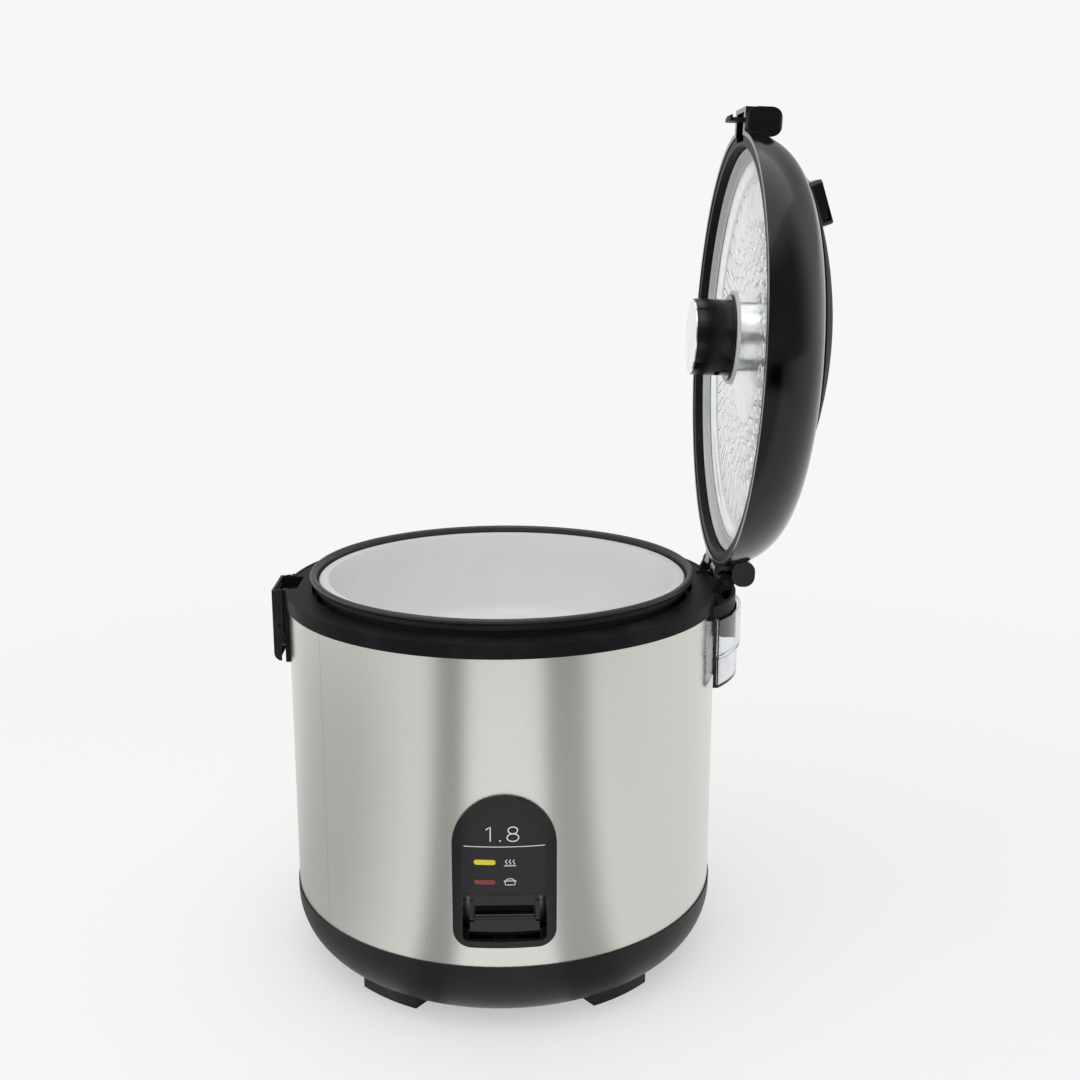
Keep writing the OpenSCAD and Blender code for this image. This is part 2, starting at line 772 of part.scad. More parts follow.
module lever_arm() {
    reach = arm_front + arm_t;
    color("#aeb0b1") difference() {
        union() {
            translate([0, -reach / 2 + 1, 0])
                slab([arm_w, reach + 2, arm_t], z_pivot - arm_t / 2);
            translate([0, -reach + arm_t / 2, 0])
                slab([arm_w, arm_t, key_low + 14 - z_pivot], z_pivot - arm_t / 2);
            x_pin(-pivot_y, z_pivot, pivot_r + 1.6, arm_w);
            // Tab over the switch
            translate([0, -switch_y - 2, z_pivot - arm_t / 2]) cube([switch_x, 4, arm_t]);
        }
        x_pin(-pivot_y, z_pivot, pivot_r + run, arm_w + 2);
    }
}

module pivot_pin() {
    color("#c4c4c2") {
        x_pin(-pivot_y, z_pivot, pivot_r, arm_w + 8);
        for (s = [-1, 1]) translate([s * (arm_w / 2 + 4.5), 0, 0])
            x_pin(-pivot_y, z_pivot, pivot_r + 1, 1);
    }
}

module lever_spring() {
    color("#9d9d9b") translate([0, -90, z_floor])
        coil(4.5, 0.5, z_pivot - arm_t / 2 - fit - z_floor, 7);
}

module switch_bracket() {
    color("#9fa1a2") difference() {
        union() {
            for (s = [-1, 1]) translate([s * (cheek_x + cheek_t / 2), -pivot_y, 0]) {
                slab([cheek_t, 16, z_pivot + 5 - z_floor], z_floor);
                translate([s * 6, 0, 0]) slab([13, 16, cheek_t], z_floor);
            }
            translate([0, -pivot_y, 0]) slab([2 * (cheek_x + cheek_t), 16, cheek_t], z_floor);
            // The longer cheek that carries the switch
            translate([cheek_x, -switch_y - 11, z_floor])
                cube([cheek_t, 24, z_pivot - 6 - z_floor]);
        }
        x_pin(-pivot_y, z_pivot, pivot_r + 0.02, 60);
    }
}

module micro_switch() {
    top = z_pivot - 4.5;
    translate([switch_x, -switch_y, 0]) {
        color("#22201f") {
            slab([10, 20, 15], top - 15);
            slab([3, 3.5, 1.6], top);
        }
        color("#c2a14d") for (y = [-6, 0, 6]) translate([0, y, 0]) slab([0.8, 3, 6], top - 21);
    }
}

// ---- Control panel ----

module recess_outline(margin = 0) {
    translate([0, z_recess + recess_h / 2])
        round_rect([recess_w + 2 * margin, recess_h + 2 * margin], 3);
}

module label_outline(margin = 0) {
    half = label_w / 2 + margin;
    top = z_label + label_h + margin;
    translate([0, top - half]) circle(half);
    translate([-half, z_label + 3]) square([2 * half, top - half - z_label - 3]);
    translate([3 - half, z_label - margin]) square([2 * half - 6, 6]);
    for (s = [-1, 1]) translate([s * (half - 3), z_label - margin + 3]) circle(3);
}

module lens_outline(z, margin = 0) {
    translate([lens_x, z])
        round_rect([lens_l + 2 * margin, lens_h + 2 * margin], lens_h / 2 + margin - eps);
}

module control_bezel() {
    face = shell_r + panel_out;
    color("#19191b") difference() {
        union() {
            intersection() {
                at_front(shell_r - 12, face + 1) panel_outline();
                tube(face, shell_r + fit, z_panel - 5, panel_h + 10);
            }
            intersection() {
                at_front(shell_r - 18, face) panel_outline(3);
                tube(shell_r + fit + eps, bezel_back, z_panel - 5, panel_h + 10);
            }
            at_front(liner_r + 4, shell_r - 3) recess_outline(1.4);
        }
        at_front(liner_r, face + 5) recess_outline();
        translate([-key_half - play, -skirt_r - 1.7, z_recess - 4])
            cube([2 * key_half + 2 * play, skirt_r - liner_r, 8]);
        intersection() {
            at_front(shell_r - 12, face + 5) label_outline(fit);
            tube(face + 5, face - label_t - fit, z_panel, panel_h);
        }
        for (z = [z_warm, z_cook]) at_front(bezel_back - 10, face + 5) lens_outline(z, fit);
    }
}

module label_plate() {
    face = shell_r + panel_out;
    color("#232327") difference() {
        intersection() {
            at_front(shell_r - 12, face + 5) label_outline();
            tube(face, face - label_t, z_panel, panel_h);
        }
        for (z = [z_warm, z_cook]) at_front(bezel_back - 10, face + 5) lens_outline(z, fit);
    }
}

module lens(z) {
    intersection() {
        at_front(bezel_back - 12, shell_r + panel_out + 5) lens_outline(z);
        tube(shell_r + panel_out + 0.3, bezel_back - 1, z - 5, 10);
    }
}

module warm_lens() {
    color("#f2e23a") lens(z_warm);
}

module cook_lens() {
    color("#a13a35") lens(z_cook);
}

module lamp_holder() {
    h = z_warm - z_cook + 12;
    color("#d8d2bd") difference() {
        union() {
            translate([lens_x, 7 - bezel_back, 0]) slab([20, 1.6, h], z_cook - 6);
            intersection() {
                for (s = [-1, 1]) translate([lens_x + s * 9, 3.4 - bezel_back, 0])
                    slab([1.6, 7, h], z_cook - 6);
                cylinder(r = bezel_back, h = z_panel_top);
            }
        }
        for (z = [z_warm, z_cook]) x_pin(-lamp_y, z, lamp_r + 0.02, 60);
    }
}

module indicator_lamps() {
    color("#e8894a") for (z = [z_warm, z_cook])
        translate([lens_x, 0, 0]) x_pin(-lamp_y, z, lamp_r, 17);
}

// ---- Power inlet ----

module power_inlet() {
    color("#141414") translate([0, inlet_y, inlet_z]) rotate([-90, 0, 0]) difference() {
        union() {
            translate([0, 0, -inlet_depth - 2]) linear_extrude(inlet_depth + 2)
                round_rect([inlet_w, inlet_h], 3);
            translate([0, 0, -inlet_depth + 6]) linear_extrude(1.5)
                round_rect([inlet_w + 4, inlet_h - 2], 3);
        }
        translate([0, 0, -inlet_depth]) linear_extrude(inlet_depth + 1)
            round_rect([inlet_w - 8, inlet_h - 8], 3);
        for (x = [-7, 0, 7]) translate([x, x == 0 ? 2 : -2, -inlet_depth - 3])
            cylinder(r = 1.5, h = 4);
    }
}

module inlet_pins() {
    color("#cfcfcb") translate([0, inlet_y, inlet_z]) rotate([-90, 0, 0])
        for (x = [-7, 0, 7]) translate([x, x == 0 ? 2 : -2, -inlet_depth - 8]) {
            cylinder(r = 1.5 - 0.02, h = inlet_depth + 4);
            cylinder(r = 2.2, h = 5);
        }
}

// ---- Pot and tray ----

module inner_pot() {
    bottom = z_pot;
    inner_corner = pot_corner - pot_t;
    roll = [lip_out - roll_r, z_lip - roll_r];
    wide = pot_r + ledge_w;
    color("#2b2c2e") rotate_extrude() {
        polygon(concat(
            [[0, bottom]],
            arc([pot_out - pot_corner, bottom + pot_corner], pot_corner, -90, 0, 10),
            [[pot_out, z_ledge - pot_t], [wide + pot_t, z_ledge - pot_t],
             [wide + pot_t, z_lip - 1], [wide, z_lip - 1], [wide, z_ledge],
             [pot_r, z_ledge]],
            reversed(arc([pot_out - pot_corner, bottom + pot_corner + pot_floor_t - pot_t],
                inner_corner, -90, 0, 10)),
            [[0, bottom + pot_floor_t]]));
        translate(roll) circle(roll_r, $fn = 48);
    }
}

module steam_tray() {
    low_r = tray_r - tray_taper;
    bottom = tray_top - tray_depth;
    outer = arc([low_r - tray_corner, bottom + tray_corner], tray_corner, -90, 0, 8);
    inner = arc([low_r - tray_corner, bottom + tray_corner], tray_corner - tray_t, -90, 0, 8);
    color("#f1f1f1") difference() {
        rotate_extrude() polygon(concat(
            [[0, bottom]], outer,
            [[tray_r, tray_top - tray_rim_t], [tray_rim_r, tray_top - tray_rim_t],
             [tray_rim_r, tray_top - 0.4], [tray_rim_r - 0.6, tray_top],
             [tray_r - tray_t + 0.4, tray_top], [tray_r - tray_t, tray_top - 0.6]],
            reversed(inner), [[0, bottom + tray_t]]));
        for (ring = [1:3], i = [0:6 * ring - 1]) rotate([0, 0, 60 * i / ring])
            translate([20 * ring, 0, bottom - 1]) cylinder(r = steam_hole_r, h = 5, $fn = 24);
    }
}

// ---- Lid ----

module dome_solid(inset = 0) {
    translate([0, 0, z_lid]) rotate_extrude() polygon(concat([[0, 0]], dome(inset)));
}

module lid_cover() {
    color("#101012") on_lid() difference() {
        union() {
            difference() {
                union() {
                    dome_solid();
                    latch_block();
                    hinge_tail();
                }
                difference() {
                    dome_solid(wall);
                    // Bosses and the steam duct stand inside the dome
                    four(lid_screw_at) translate([0, 0, z_frame + frame_t + 2])
                        cylinder(r = 4, h = lid_rise);
                    translate([-valve_shift, 0, 0]) tube(valve_stem_r + 2, valve_stem_r + play,
                        z_frame + frame_t, lid_rise);
                }
            }
            hinge_knuckles();
        }
        hook_slot();
        four(lid_screw_at) translate([0, 0, z_frame]) cylinder(r = 1.5, h = 13);
        translate([-valve_shift, 0, z_frame]) cylinder(r = valve_stem_r - 3, h = lid_rise);
        y_pin(hinge_x, hinge_z, hinge_pin_r + run, 2 * hinge_w);
    }
}

// Slot in the lid's rim that the hook hangs in
module hook_slot() {
    translate([2 - latch_x, -11, z_lid - 1])
        cube([latch_x - 2.5 - frame_wall_r, 22, slot_top - z_lid + 1]);
}

module latch_block() {
    out = latch_x + 0.6;
    len_x = 16;
    intersection() {
        translate([0, 0, z_lid]) along_y(block_w) translate([-out + len_x / 2, block_h / 2])
            round_rect([len_x, block_h], 7);
        translate([-out, 0, z_lid + block_h / 2]) rotate([0, 90, 0])
            linear_extrude(len_x) round_rect([block_h, block_w], 4);
    }
    translate([-out + 0.01, -block_w / 2 + 3, z_lid]) cube([len_x, block_w - 6, 7]);
}

module hinge_tail() {
    half = hinge_w / 2 + ear_t + 3.5;
    inner = half - 2;
    difference() {
        along_y(2 * half) translate([hinge_x - 6, hinge_z + tail_z / 2 + 1.25])
            round_rect([2 * (tail_x + 6), tail_z - 2.5], 6);
        translate([hinge_x - 6, -inner, z_lid]) cube([tail_x + 4, 2 * inner, tail_z + 2.5]);
        // Room for the ears
        y_pin(hinge_x, hinge_z, hinge_r + 0.2 + play, 2 * inner);
    }
}

module hinge_knuckles() {
    for (s = [-1, 1]) translate([0, s * (hinge_w / 4 + 5.5), 0]) along_y(hinge_w / 2 - 11.6) {
        translate([hinge_x, hinge_z]) circle(hinge_r);
        polygon([[lid_r - 3, z_lid + 0.6], [hinge_x - 1, z_lid + 0.2],
            [hinge_x - 1, hinge_z + hinge_r - 0.2], [hinge_x - 7, hinge_z + 9],
            [lid_r - 3.5, hinge_z + 9]]);
    }
}

module pod_frame() {
    translate([pod_centre[0], 0, z_lid + pod_centre[1]]) children();
}

// The pod's round cap, set in by a wall, about its own tilted axis
module pod_cap(inset = 0) {
    reach = asin((pod_r + 4) / pod_cap_r);
    pod_frame() rotate([0, atan2(pod_up[0], pod_up[1]), 0]) rotate_extrude()
        polygon(concat([[0, pod_cap_r - pod_bulge - 12]],
            [[pod_r + 4, pod_cap_r - pod_bulge - 12]],
            arc([0, 0], pod_cap_r - inset, 90 - reach, 90, 12)));
}

module on_vent() {
    pod_frame() rotate([0, -vent_turn, 0]) translate([0, 0, pod_cap_r]) children();
}

module lid_pod() {
    color("#131315") on_lid() difference() {
        intersection() {
            pod_cap();
            translate([-pod_shift, 0, z_lid + 20]) cylinder(r = pod_r, h = 2 * lid_rise);
        }
        dome_solid();
        intersection() {
            pod_cap(wall);
            translate([-pod_shift, 0, z_lid + 20])
                cylinder(r = pod_r - wall - 3, h = 2 * lid_rise);
        }
        on_vent() {
            slab([vent_l + 2 * fit, vent_w + 2 * fit, 10], vent_seat);
            slab([vent_plug[0] + 2 * fit, vent_plug[1] + 2 * fit, 20], -15);
        }
    }
}

module vent_cap() {
    size = [vent_l, vent_w];
    color("#17171a") on_lid() on_vent() difference() {
        union() {
            translate([0, 0, vent_seat + fit]) intersection() {
                linear_extrude(vent_h) round_rect(size, 4);
                translate([0, 0, vent_h / 2]) along_y(vent_w) round_rect([vent_l, vent_h + 4], 4);
                translate([-vent_l / 2, 0, vent_h / 2]) rotate([0, 90, 0])
                    linear_extrude(vent_l) round_rect([vent_h + 4, vent_w], 4);
            }
            slab([vent_plug[0], vent_plug[1], 2.2], vent_seat + fit - 2.1);
        }
        slab([vent_plug[0] - 4, vent_plug[1] - 4, vent_h + 1], -vent_h + 3);
        for (x = [-6:3:6]) translate([x, 0, 0]) slab([1.4, vent_w - 12, 20], 0);
    }
}

module lid_inner_frame() {
    out = frame_wall_r;
    low = z_lid + 0.6;
    rim_out = lid_r - wall - play;
    color("#141416") on_lid() difference() {
        union() {
            rotate_extrude() polygon([
                [0, z_frame], [out - 1.6, z_frame], [out - 1.6, low],
                [rim_out, low], [rim_out, low + 1.6], [out, low + 1.6],
                [out, z_frame + frame_t], [0, z_frame + frame_t]]);
            four(lid_screw_at) translate([0, 0, z_frame]) cylinder(r = 5, h = frame_t + 2);
        }
        translate([-valve_shift, 0, z_frame - 1]) cylinder(r = valve_stem_r + fit, h = 5);
        four(lid_screw_at) translate([0, 0, z_frame - 1]) {
            cylinder(r = 1.7, h = 6);
            cylinder(r = 3.2 + 2 * fit, h = 3);
        }
        hook_slot();
    }
}

module lid_screws() {
    color("#a8a8a6") on_lid() four(lid_screw_at) translate([0, 0, z_frame + 2])
        screw(1.5 - run, 10, 3.2, 1.8);
}

// Flat against the pot's lip, with a skirt outside it
module lid_gasket() {
    low = z_lip + play + 0.1;
    skirt = gasket_out - 0.7;
    color("#dcdedd") on_lid() rotate_extrude() polygon([
        [gasket_in, low + 0.5], [gasket_in + 0.6, low], [skirt, low],
        [skirt, low - 3], [gasket_out - 0.1, low - 3], [gasket_out, z_frame],
        [gasket_in, z_frame]]);
}

module inner_lid() {
    wall_in = gasket_in - 1.2;
    hole_r = valve_stem_r + fit;
    color("#d5d8da") on_lid() difference() {
        union() {
            rotate_extrude() polygon([
                [0, z_plate], [plate_r, z_plate], [wall_in, z_brim], [gasket_in - fit, z_brim],
                [gasket_in - fit, z_brim + plate_t], [wall_in + 0.2, z_brim + plate_t],
                [plate_r + 0.2, z_plate + plate_t], [0, z_plate + plate_t]]);
            translate([-valve_shift, 0, z_boss]) cylinder(r = hole_r + plate_t, h = boss_h);
        }
        translate([-valve_shift, 0, z_boss - 1]) cylinder(r = hole_r, h = boss_h + 4);
    }
}

module steam_valve() {
    color("#17171a") on_lid() translate([-valve_shift, 0, z_valve]) difference() {
        union() {
            translate([0, 0, -valve_l]) cylinder(r = valve_r, h = valve_l);
            translate([0, 0, -1.5]) cylinder(r = valve_r + 3, h = 1.5);
            translate([0, 0, -1]) cylinder(r = valve_stem_r, h = z_frame - z_valve + 3.5);
        }
        translate([0, 0, -valve_l - 1]) cylinder(r = valve_r - 2, h = valve_l - 4);
        translate([0, 0, -valve_l]) cylinder(r = valve_r - 6, h = 60);
        // Steam slots, on the hinge's side and the back
        for (a = [-20, 35, 90]) rotate([0, 0, a])
            translate([valve_r - 4, -5, -9]) cube([6, 10, 3]);
    }
}

module valve_seal() {
    color("#cfd2d2") on_lid() translate([-valve_shift, 0, 0])
        tube(valve_r + 5, valve_stem_r + fit, z_valve, seal_t);
}

module valve_end() {
    color("#e3e5e6") on_lid() translate([-valve_shift, 0, z_valve - valve_l]) {
        translate([0, 0, -0.6]) cylinder(r = valve_r - 0.6, h = 0.6);
        cylinder(r = valve_r - 2 - fit, h = 3);
    }
}

module lid_hook() {
    stem = hook_x - 2;
    head = slot_top - 2;
    color("#2a2a2c") on_lid() along_y(16) polygon([
        [-hook_x - 2, slot_top], [-hook_x - 2, head], [-hook_x, head],
        [-hook_x, z_hook + 1.6], [-hook_x - 1.5, z_hook + 1.4], [-hook_x - 1.5, z_hook + 0.8],
        [-hook_x, z_hook], [-stem, z_hook], [-stem, head], [-stem + 6, head],
        [-stem + 6, slot_top]]);
}

module hinge_pin() {
    color("#c4c4c2") y_pin(hinge_x, hinge_z, hinge_pin_r, hinge_w + 2 * ear_t + 2);
}

module hinge_spring() {
    color("#9d9d9b") translate([hinge_x, 10, hinge_z]) rotate([90, 0, 0])
        coil(hinge_pin_r + 0.7, 0.6, 20, 9);
}

// ---- Latch ----

module latch_lever() {
    out = -latch_x;
    inner = latch_w / 2 - latch_wall;
    back = -sqrt(bracket_r ^ 2 - inner ^ 2) - play;
    lean = 2;
    color("#1a1a1b") difference() {
        union() {
            along_y(latch_w) intersection() {
                translate([out + 10, z_latch + latch_h / 2]) round_rect([20, latch_h], 5);
                polygon([[out, z_latch - 1], [back - lean, z_latch - 1],
                    [back - lean, z_latch + 6], [back, latch_pivot_z + 2],
                    [back, z_ring], [out, z_ring]]);
            }
            along_y(latch_w) polygon([[out, z_ring - 8], [back, z_ring - 8],
                [back, z_ring - 0.4], [out, z_ring - 0.4]]);
            for (s = [-1, 1]) translate([0, s * (latch_w - latch_wall) / 2, 0])
                along_y(latch_wall) translate([-latch_pivot_x, latch_pivot_z])
                    circle(latch_lug_r + 0.2);
        }
        difference() {
            union() {
                translate([out + latch_wall, -inner, z_latch + latch_wall])
                    cube([12, 2 * inner, latch_h]);
                translate([-bracket_r - play - 2.2, -inner, z_latch - 1])
                    cube([8, 2 * inner, 5]);
            }
            // Ridge that catches the hook
            translate([out, -8, z_hook + 1.9]) cube([latch_wall + 0.8, 16, 1.8]);
        }
        y_pin(-latch_pivot_x, latch_pivot_z, latch_pin_r + run, 2 * latch_w);
    }
}

module latch_pin() {
    color("#c4c4c2") y_pin(-latch_pivot_x, latch_pivot_z, latch_pin_r, latch_w - 1);
}

module latch_spring() {
    h = latch_x - latch_wall - bracket_r - 2 * fit;
    color("#9d9d9b") translate([-bracket_r - fit, 0, z_latch + 7])
        rotate([0, -90, 0]) coil(2.6, 0.3, h, 3);
}

// ---- Dew collector ----

module collector_bracket() {
    color("#1a1a1b") intersection() {
        tube(shell_r + holder_t, shell_r, z_collector, z_collar - z_collector);
        translate([0, -22, 0]) cube([shell_r + 20, 44, z_ring]);
    }
}

module dew_collector() {
    out = shell_r + collector_out;
    near = shell_r + holder_t + play;
    low = z_collector;
    color([0.85, 0.9, 0.93, 0.35]) difference() {
        union() {
            translate([0, 0, low + step_h]) linear_extrude(collector_h - step_h)
                bulge(out, collector_half, near);
            translate([0, 0, low]) linear_extrude(step_h + 1)
                bulge(out - 1.6, collector_half - 2, near);
        }
        translate([0, 0, low + step_h + collector_t])
            linear_extrude(collector_h)
            bulge(out, collector_half, near, collector_t, collector_t);
        translate([0, 0, low + collector_t]) linear_extrude(collector_h)
            bulge(out - 1.6, collector_half - 2, near, collector_t, collector_t);
    }
}

base_cup();
feet();
base_screws();
outer_shell();
top_ring();
ring_screws();
inner_liner();
band_heater();
heating_plate();
heating_element();
plate_spacers();
thermal_fuse();
warm_thermostat();
sensor_cap();
sensor_bracket();
sensor_spring();
magnet();
magnet_rod();
cook_key();
lever_arm();
pivot_pin();
lever_spring();
switch_bracket();
micro_switch();
control_bezel();
label_plate();
warm_lens();
cook_lens();
lamp_holder();
indicator_lamps();
power_inlet();
inlet_pins();
inner_pot();
steam_tray();
lid_cover();
lid_pod();
vent_cap();
lid_inner_frame();
lid_screws();
lid_gasket();
inner_lid();
steam_valve();
valve_seal();
valve_end();
lid_hook();
hinge_pin();
hinge_spring();
latch_lever();
latch_pin();
latch_spring();
collector_bracket();
dew_collector();
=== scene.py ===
"""Jar rice cooker with a hinged lid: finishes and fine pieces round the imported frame.

Metres, Z up. The control panel faces -Y, the lid's hinge is at +X and the latch at -X.
"""

import json
import math

import bmesh
import bpy
from mathutils import Matrix, Vector


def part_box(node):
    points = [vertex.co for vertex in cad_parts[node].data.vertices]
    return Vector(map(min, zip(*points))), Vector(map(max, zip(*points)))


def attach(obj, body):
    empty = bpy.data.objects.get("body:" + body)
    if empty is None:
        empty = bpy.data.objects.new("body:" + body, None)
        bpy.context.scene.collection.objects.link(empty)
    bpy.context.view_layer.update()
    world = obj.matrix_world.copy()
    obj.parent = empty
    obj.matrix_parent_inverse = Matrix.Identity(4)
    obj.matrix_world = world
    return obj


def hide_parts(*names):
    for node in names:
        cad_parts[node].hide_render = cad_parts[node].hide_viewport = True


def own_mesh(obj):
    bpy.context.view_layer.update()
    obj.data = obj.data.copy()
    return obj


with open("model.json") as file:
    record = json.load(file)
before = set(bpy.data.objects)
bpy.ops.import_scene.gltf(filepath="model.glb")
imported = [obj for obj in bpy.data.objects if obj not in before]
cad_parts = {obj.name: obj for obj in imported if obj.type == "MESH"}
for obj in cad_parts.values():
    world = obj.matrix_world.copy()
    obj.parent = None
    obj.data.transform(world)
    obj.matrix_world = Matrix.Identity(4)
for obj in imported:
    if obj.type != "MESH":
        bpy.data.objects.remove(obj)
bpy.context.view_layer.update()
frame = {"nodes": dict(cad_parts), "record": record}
nodes = frame["nodes"]
record = frame["record"]
slot_of = {s["node"]: s["material_slot"] for s in record["subparts"]}
body_of = {name: body for body, names in record["behaviour"]["bodies"].items() for name in names}

# ---- Camera ----

CAMERA_PLACE = (0.0, -0.7884, 0.4346)
CAMERA_PITCH = 76.893
CAMERA_TURN = -1.650
FOCAL_SHARE = 1344.9 / 1080
SENSOR = 36.0

lens_data = bpy.data.cameras.new("camera")
lens_data.sensor_width = SENSOR
lens_data.lens = SENSOR * FOCAL_SHARE
lens_data.clip_start = 0.01
camera = bpy.data.objects.new("camera", lens_data)
camera.location = CAMERA_PLACE
camera.rotation_euler = (math.radians(CAMERA_PITCH), 0, math.radians(CAMERA_TURN))
bpy.context.scene.collection.objects.link(camera)
bpy.context.scene.camera = camera
bpy.context.scene.view_settings.view_transform = "Standard"


# ---- Shader maths ----

class Term:
    """A shader socket that takes part in sums, written as a Python expression."""

    def __init__(self, finish, socket):
        self.finish = finish
        self.socket = socket

    def math(self, operation, *others):
        values = dict(enumerate((self, *others)))
        return self.finish.add("ShaderNodeMath", {"operation": operation}, values)

    def __add__(self, other):
        return self.math("ADD", other)

    __radd__ = __add__

    def __sub__(self, other):
        return self.math("SUBTRACT", other)

    def __rsub__(self, other):
        return self.finish.add("ShaderNodeMath", {"operation": "SUBTRACT"}, {0: other, 1: self})

    def __mul__(self, other):
        return self.math("MULTIPLY", other)

    __rmul__ = __mul__

    def __truediv__(self, other):
        return self.math("DIVIDE", other)

    def step(self, low, high):
        """0 below low, 1 above high, and smooth between them."""
        return self.finish.add(
            "ShaderNodeMapRange", {"interpolation_type": "SMOOTHSTEP"},
            {"Value": self, "From Min": low, "From Max": high})

    def band(self, rise, fall):
        """1 between two smooth edges and 0 outside them; each edge is a pair of values."""
        return self.step(*rise) * (1 - self.step(*fall))


MIX_SHARE, MIX_FIRST, MIX_SECOND = 0, 6, 7    # the colour sockets of a Mix node
MIX_RESULT = 2


class Finish:
    """One material or world: a node tree with a few ways to add to it."""

    def __init__(self, name, world=False):
        self.block = bpy.data.worlds.new(name) if world else bpy.data.materials.new(name)
        self.block.use_nodes = True
        self.tree = self.block.node_tree
        self.tree.nodes.clear()

    def add(self, kind, settings=None, sockets=None):
        """A node with its settings and inputs, as the term of its first output."""
        node = self.tree.nodes.new(kind)
        for key, value in (settings or {}).items():
            setattr(node, key, value)
        self.feed(node, sockets or {})
        return Term(self, node.outputs[0]) if node.outputs else node

    def feed(self, node, sockets):
        """Link terms to a node's inputs, and set the inputs that are constant."""
        for key, value in sockets.items():
            if isinstance(value, Term):
                self.tree.links.new(value.socket, node.inputs[key])
            else:
                node.inputs[key].default_value = value

    def outputs(self, term):
        """Every output of the node that a term comes from, by name."""
        return {socket.name: Term(self, socket) for socket in term.socket.node.outputs}

    def place(self):
        """Where a point lies in metres, in Object coordinates."""
        return self.outputs(self.add("ShaderNodeTexCoord"))["Object"]

    def split(self, vector):
        """The three parts of a vector."""
        return self.outputs(self.add("ShaderNodeSeparateXYZ", None, {0: vector})).values()

    def join(self, x, y, z):
        """A vector from its three parts."""
        return self.add("ShaderNodeCombineXYZ", None, {0: x, 1: y, 2: z})

    def noise(self, vector, scale, detail, rough):
        """Even noise round 0.5, with scale grains to the unit of the vector."""
        return self.add("ShaderNodeTexNoise", {"noise_dimensions": "3D"},
                        {"Vector": vector, "Scale": scale, "Detail": detail, "Roughness": rough})

    def mix(self, share, dark, light):
        """A colour between two colours, the first where the share is 0."""
        def colour(c):
            return c if isinstance(c, Term) else (*c, 1)
        node = self.tree.nodes.new("ShaderNodeMix")
        node.data_type = "RGBA"
        self.feed(node, {MIX_SHARE: share, MIX_FIRST: colour(dark), MIX_SECOND: colour(light)})
        return Term(self, node.outputs[MIX_RESULT])

    def bump(self, height, depth, strength, normal=None):
        """A normal from a height between 0 and 1 that stands for a depth in metres."""
        sockets = {"Height": height, "Distance": depth, "Strength": strength}
        if normal:
            sockets["Normal"] = normal
        return self.add("ShaderNodeBump", None, sockets)

    def soft_edge(self, radius):
        """A normal that rounds the edges a little in the light."""
        return self.add("ShaderNodeBevel", {"samples": 4}, {"Radius": radius})

    def surface(self, **sockets):
        """Close the material with a Principled shader; underscores stand for spaces."""
        named = {key.replace("_", " "): value for key, value in sockets.items()}
        shader = self.add("ShaderNodeBsdfPrincipled", None, named)
        self.add("ShaderNodeOutputMaterial", None, {"Surface": shader})
        return self.block


def from_axis(finish):
    """Angle round the body's axis, height, and distance from the axis."""
    x, y, z = finish.split(finish.place())
    radius = (x * x + y * y).math("SQRT")
    angle = y.math("ARCTAN2", x)
    return angle, z, radius


def light_path(finish):
    """Whether a ray comes from the camera, by a glossy bounce or through clear plastic."""
    rays = finish.outputs(finish.add("ShaderNodeLightPath"))
    return [rays[f"Is {kind} Ray"] for kind in ("Camera", "Glossy", "Transmission")]


# ---- Finishes ----

SHELL_LINES = 5200.0             # brush lines to a metre of height
SHELL_SEAM = -2.478              # the seam's angle, in radians
SEAM_EDGE = (0.0012, 0.0030)     # half of the seam's width and of its soft edge, in radians
SEAM_TONE = (0.16, 0.155, 0.15)


def brushed_steel(name, light, dark, rough):
    """Sheet brushed level round the body, with fine lines of uneven length and one faint seam."""
    f = Finish(name)
    angle, z, _ = from_axis(f)
    fine = f.noise(f.join(angle * 2.2, 0.0, z * SHELL_LINES), 1.0, 4.0, 0.7)
    long_lines = f.noise(f.join(angle * 1.1, 0.0, z * SHELL_LINES * 0.3), 1.0, 2.0, 0.5)
    cloud = f.noise(f.place(), 7.0, 2.0, 0.5)
    grain = (fine * 0.75 + long_lines * 0.25).step(0.3, 0.7)
    seam = 1 - (angle - SHELL_SEAM).math("ABSOLUTE").step(*SEAM_EDGE)
    tone = f.mix(grain, dark, light)
    tone = f.mix(cloud.step(0.35, 0.75) * 0.3, tone, tuple(c * 0.93 for c in light))
    return f.surface(
        Base_Color=f.mix(seam * 0.35, tone, SEAM_TONE),
        Metallic=1.0, Roughness=rough + (1 - grain) * 0.03 + cloud * 0.03,
        Anisotropic=0.6, Anisotropic_Rotation=0.25,
        Normal=f.bump(grain - seam * 2, 0.00001, 0.12))


def moulded(name, colour, rough, grain=0.00003, wear=0.012, shine=0.3):
    """Black moulding: a fine spark-eroded skin with a little dust and rub on it."""
    f = Finish(name)
    place = f.place()
    skin = f.noise(place, 2600.0, 2.0, 0.5)
    rub = f.noise(place, 38.0, 4.0, 0.6).step(0.42, 0.78)
    lit = tuple(min(1.0, c + wear) for c in colour)
    return f.surface(
        Base_Color=f.mix(rub, colour, lit), Roughness=rough + rub * 0.07 + skin * 0.03,
        Specular_IOR_Level=shine, Normal=f.bump(skin, grain, 0.6, f.soft_edge(0.0004)))


def polished(name, colour, rough, shine=0.32):
    """Polished black moulding with a very slight orange peel and faint smears."""
    f = Finish(name)
    place = f.place()
    peel = f.noise(place, 260.0, 1.0, 0.4)
    smear = f.noise(place, 22.0, 5.0, 0.65).step(0.45, 0.8)
    lit = tuple(c + 0.006 for c in colour)
    return f.surface(
        Base_Color=f.mix(smear, colour, lit), Roughness=rough + smear * 0.06,
        Specular_IOR_Level=shine, Coat_Weight=0.1, Coat_Roughness=rough * 0.7,
        Normal=f.bump(peel, 0.00003, 0.25, f.soft_edge(0.0005)))


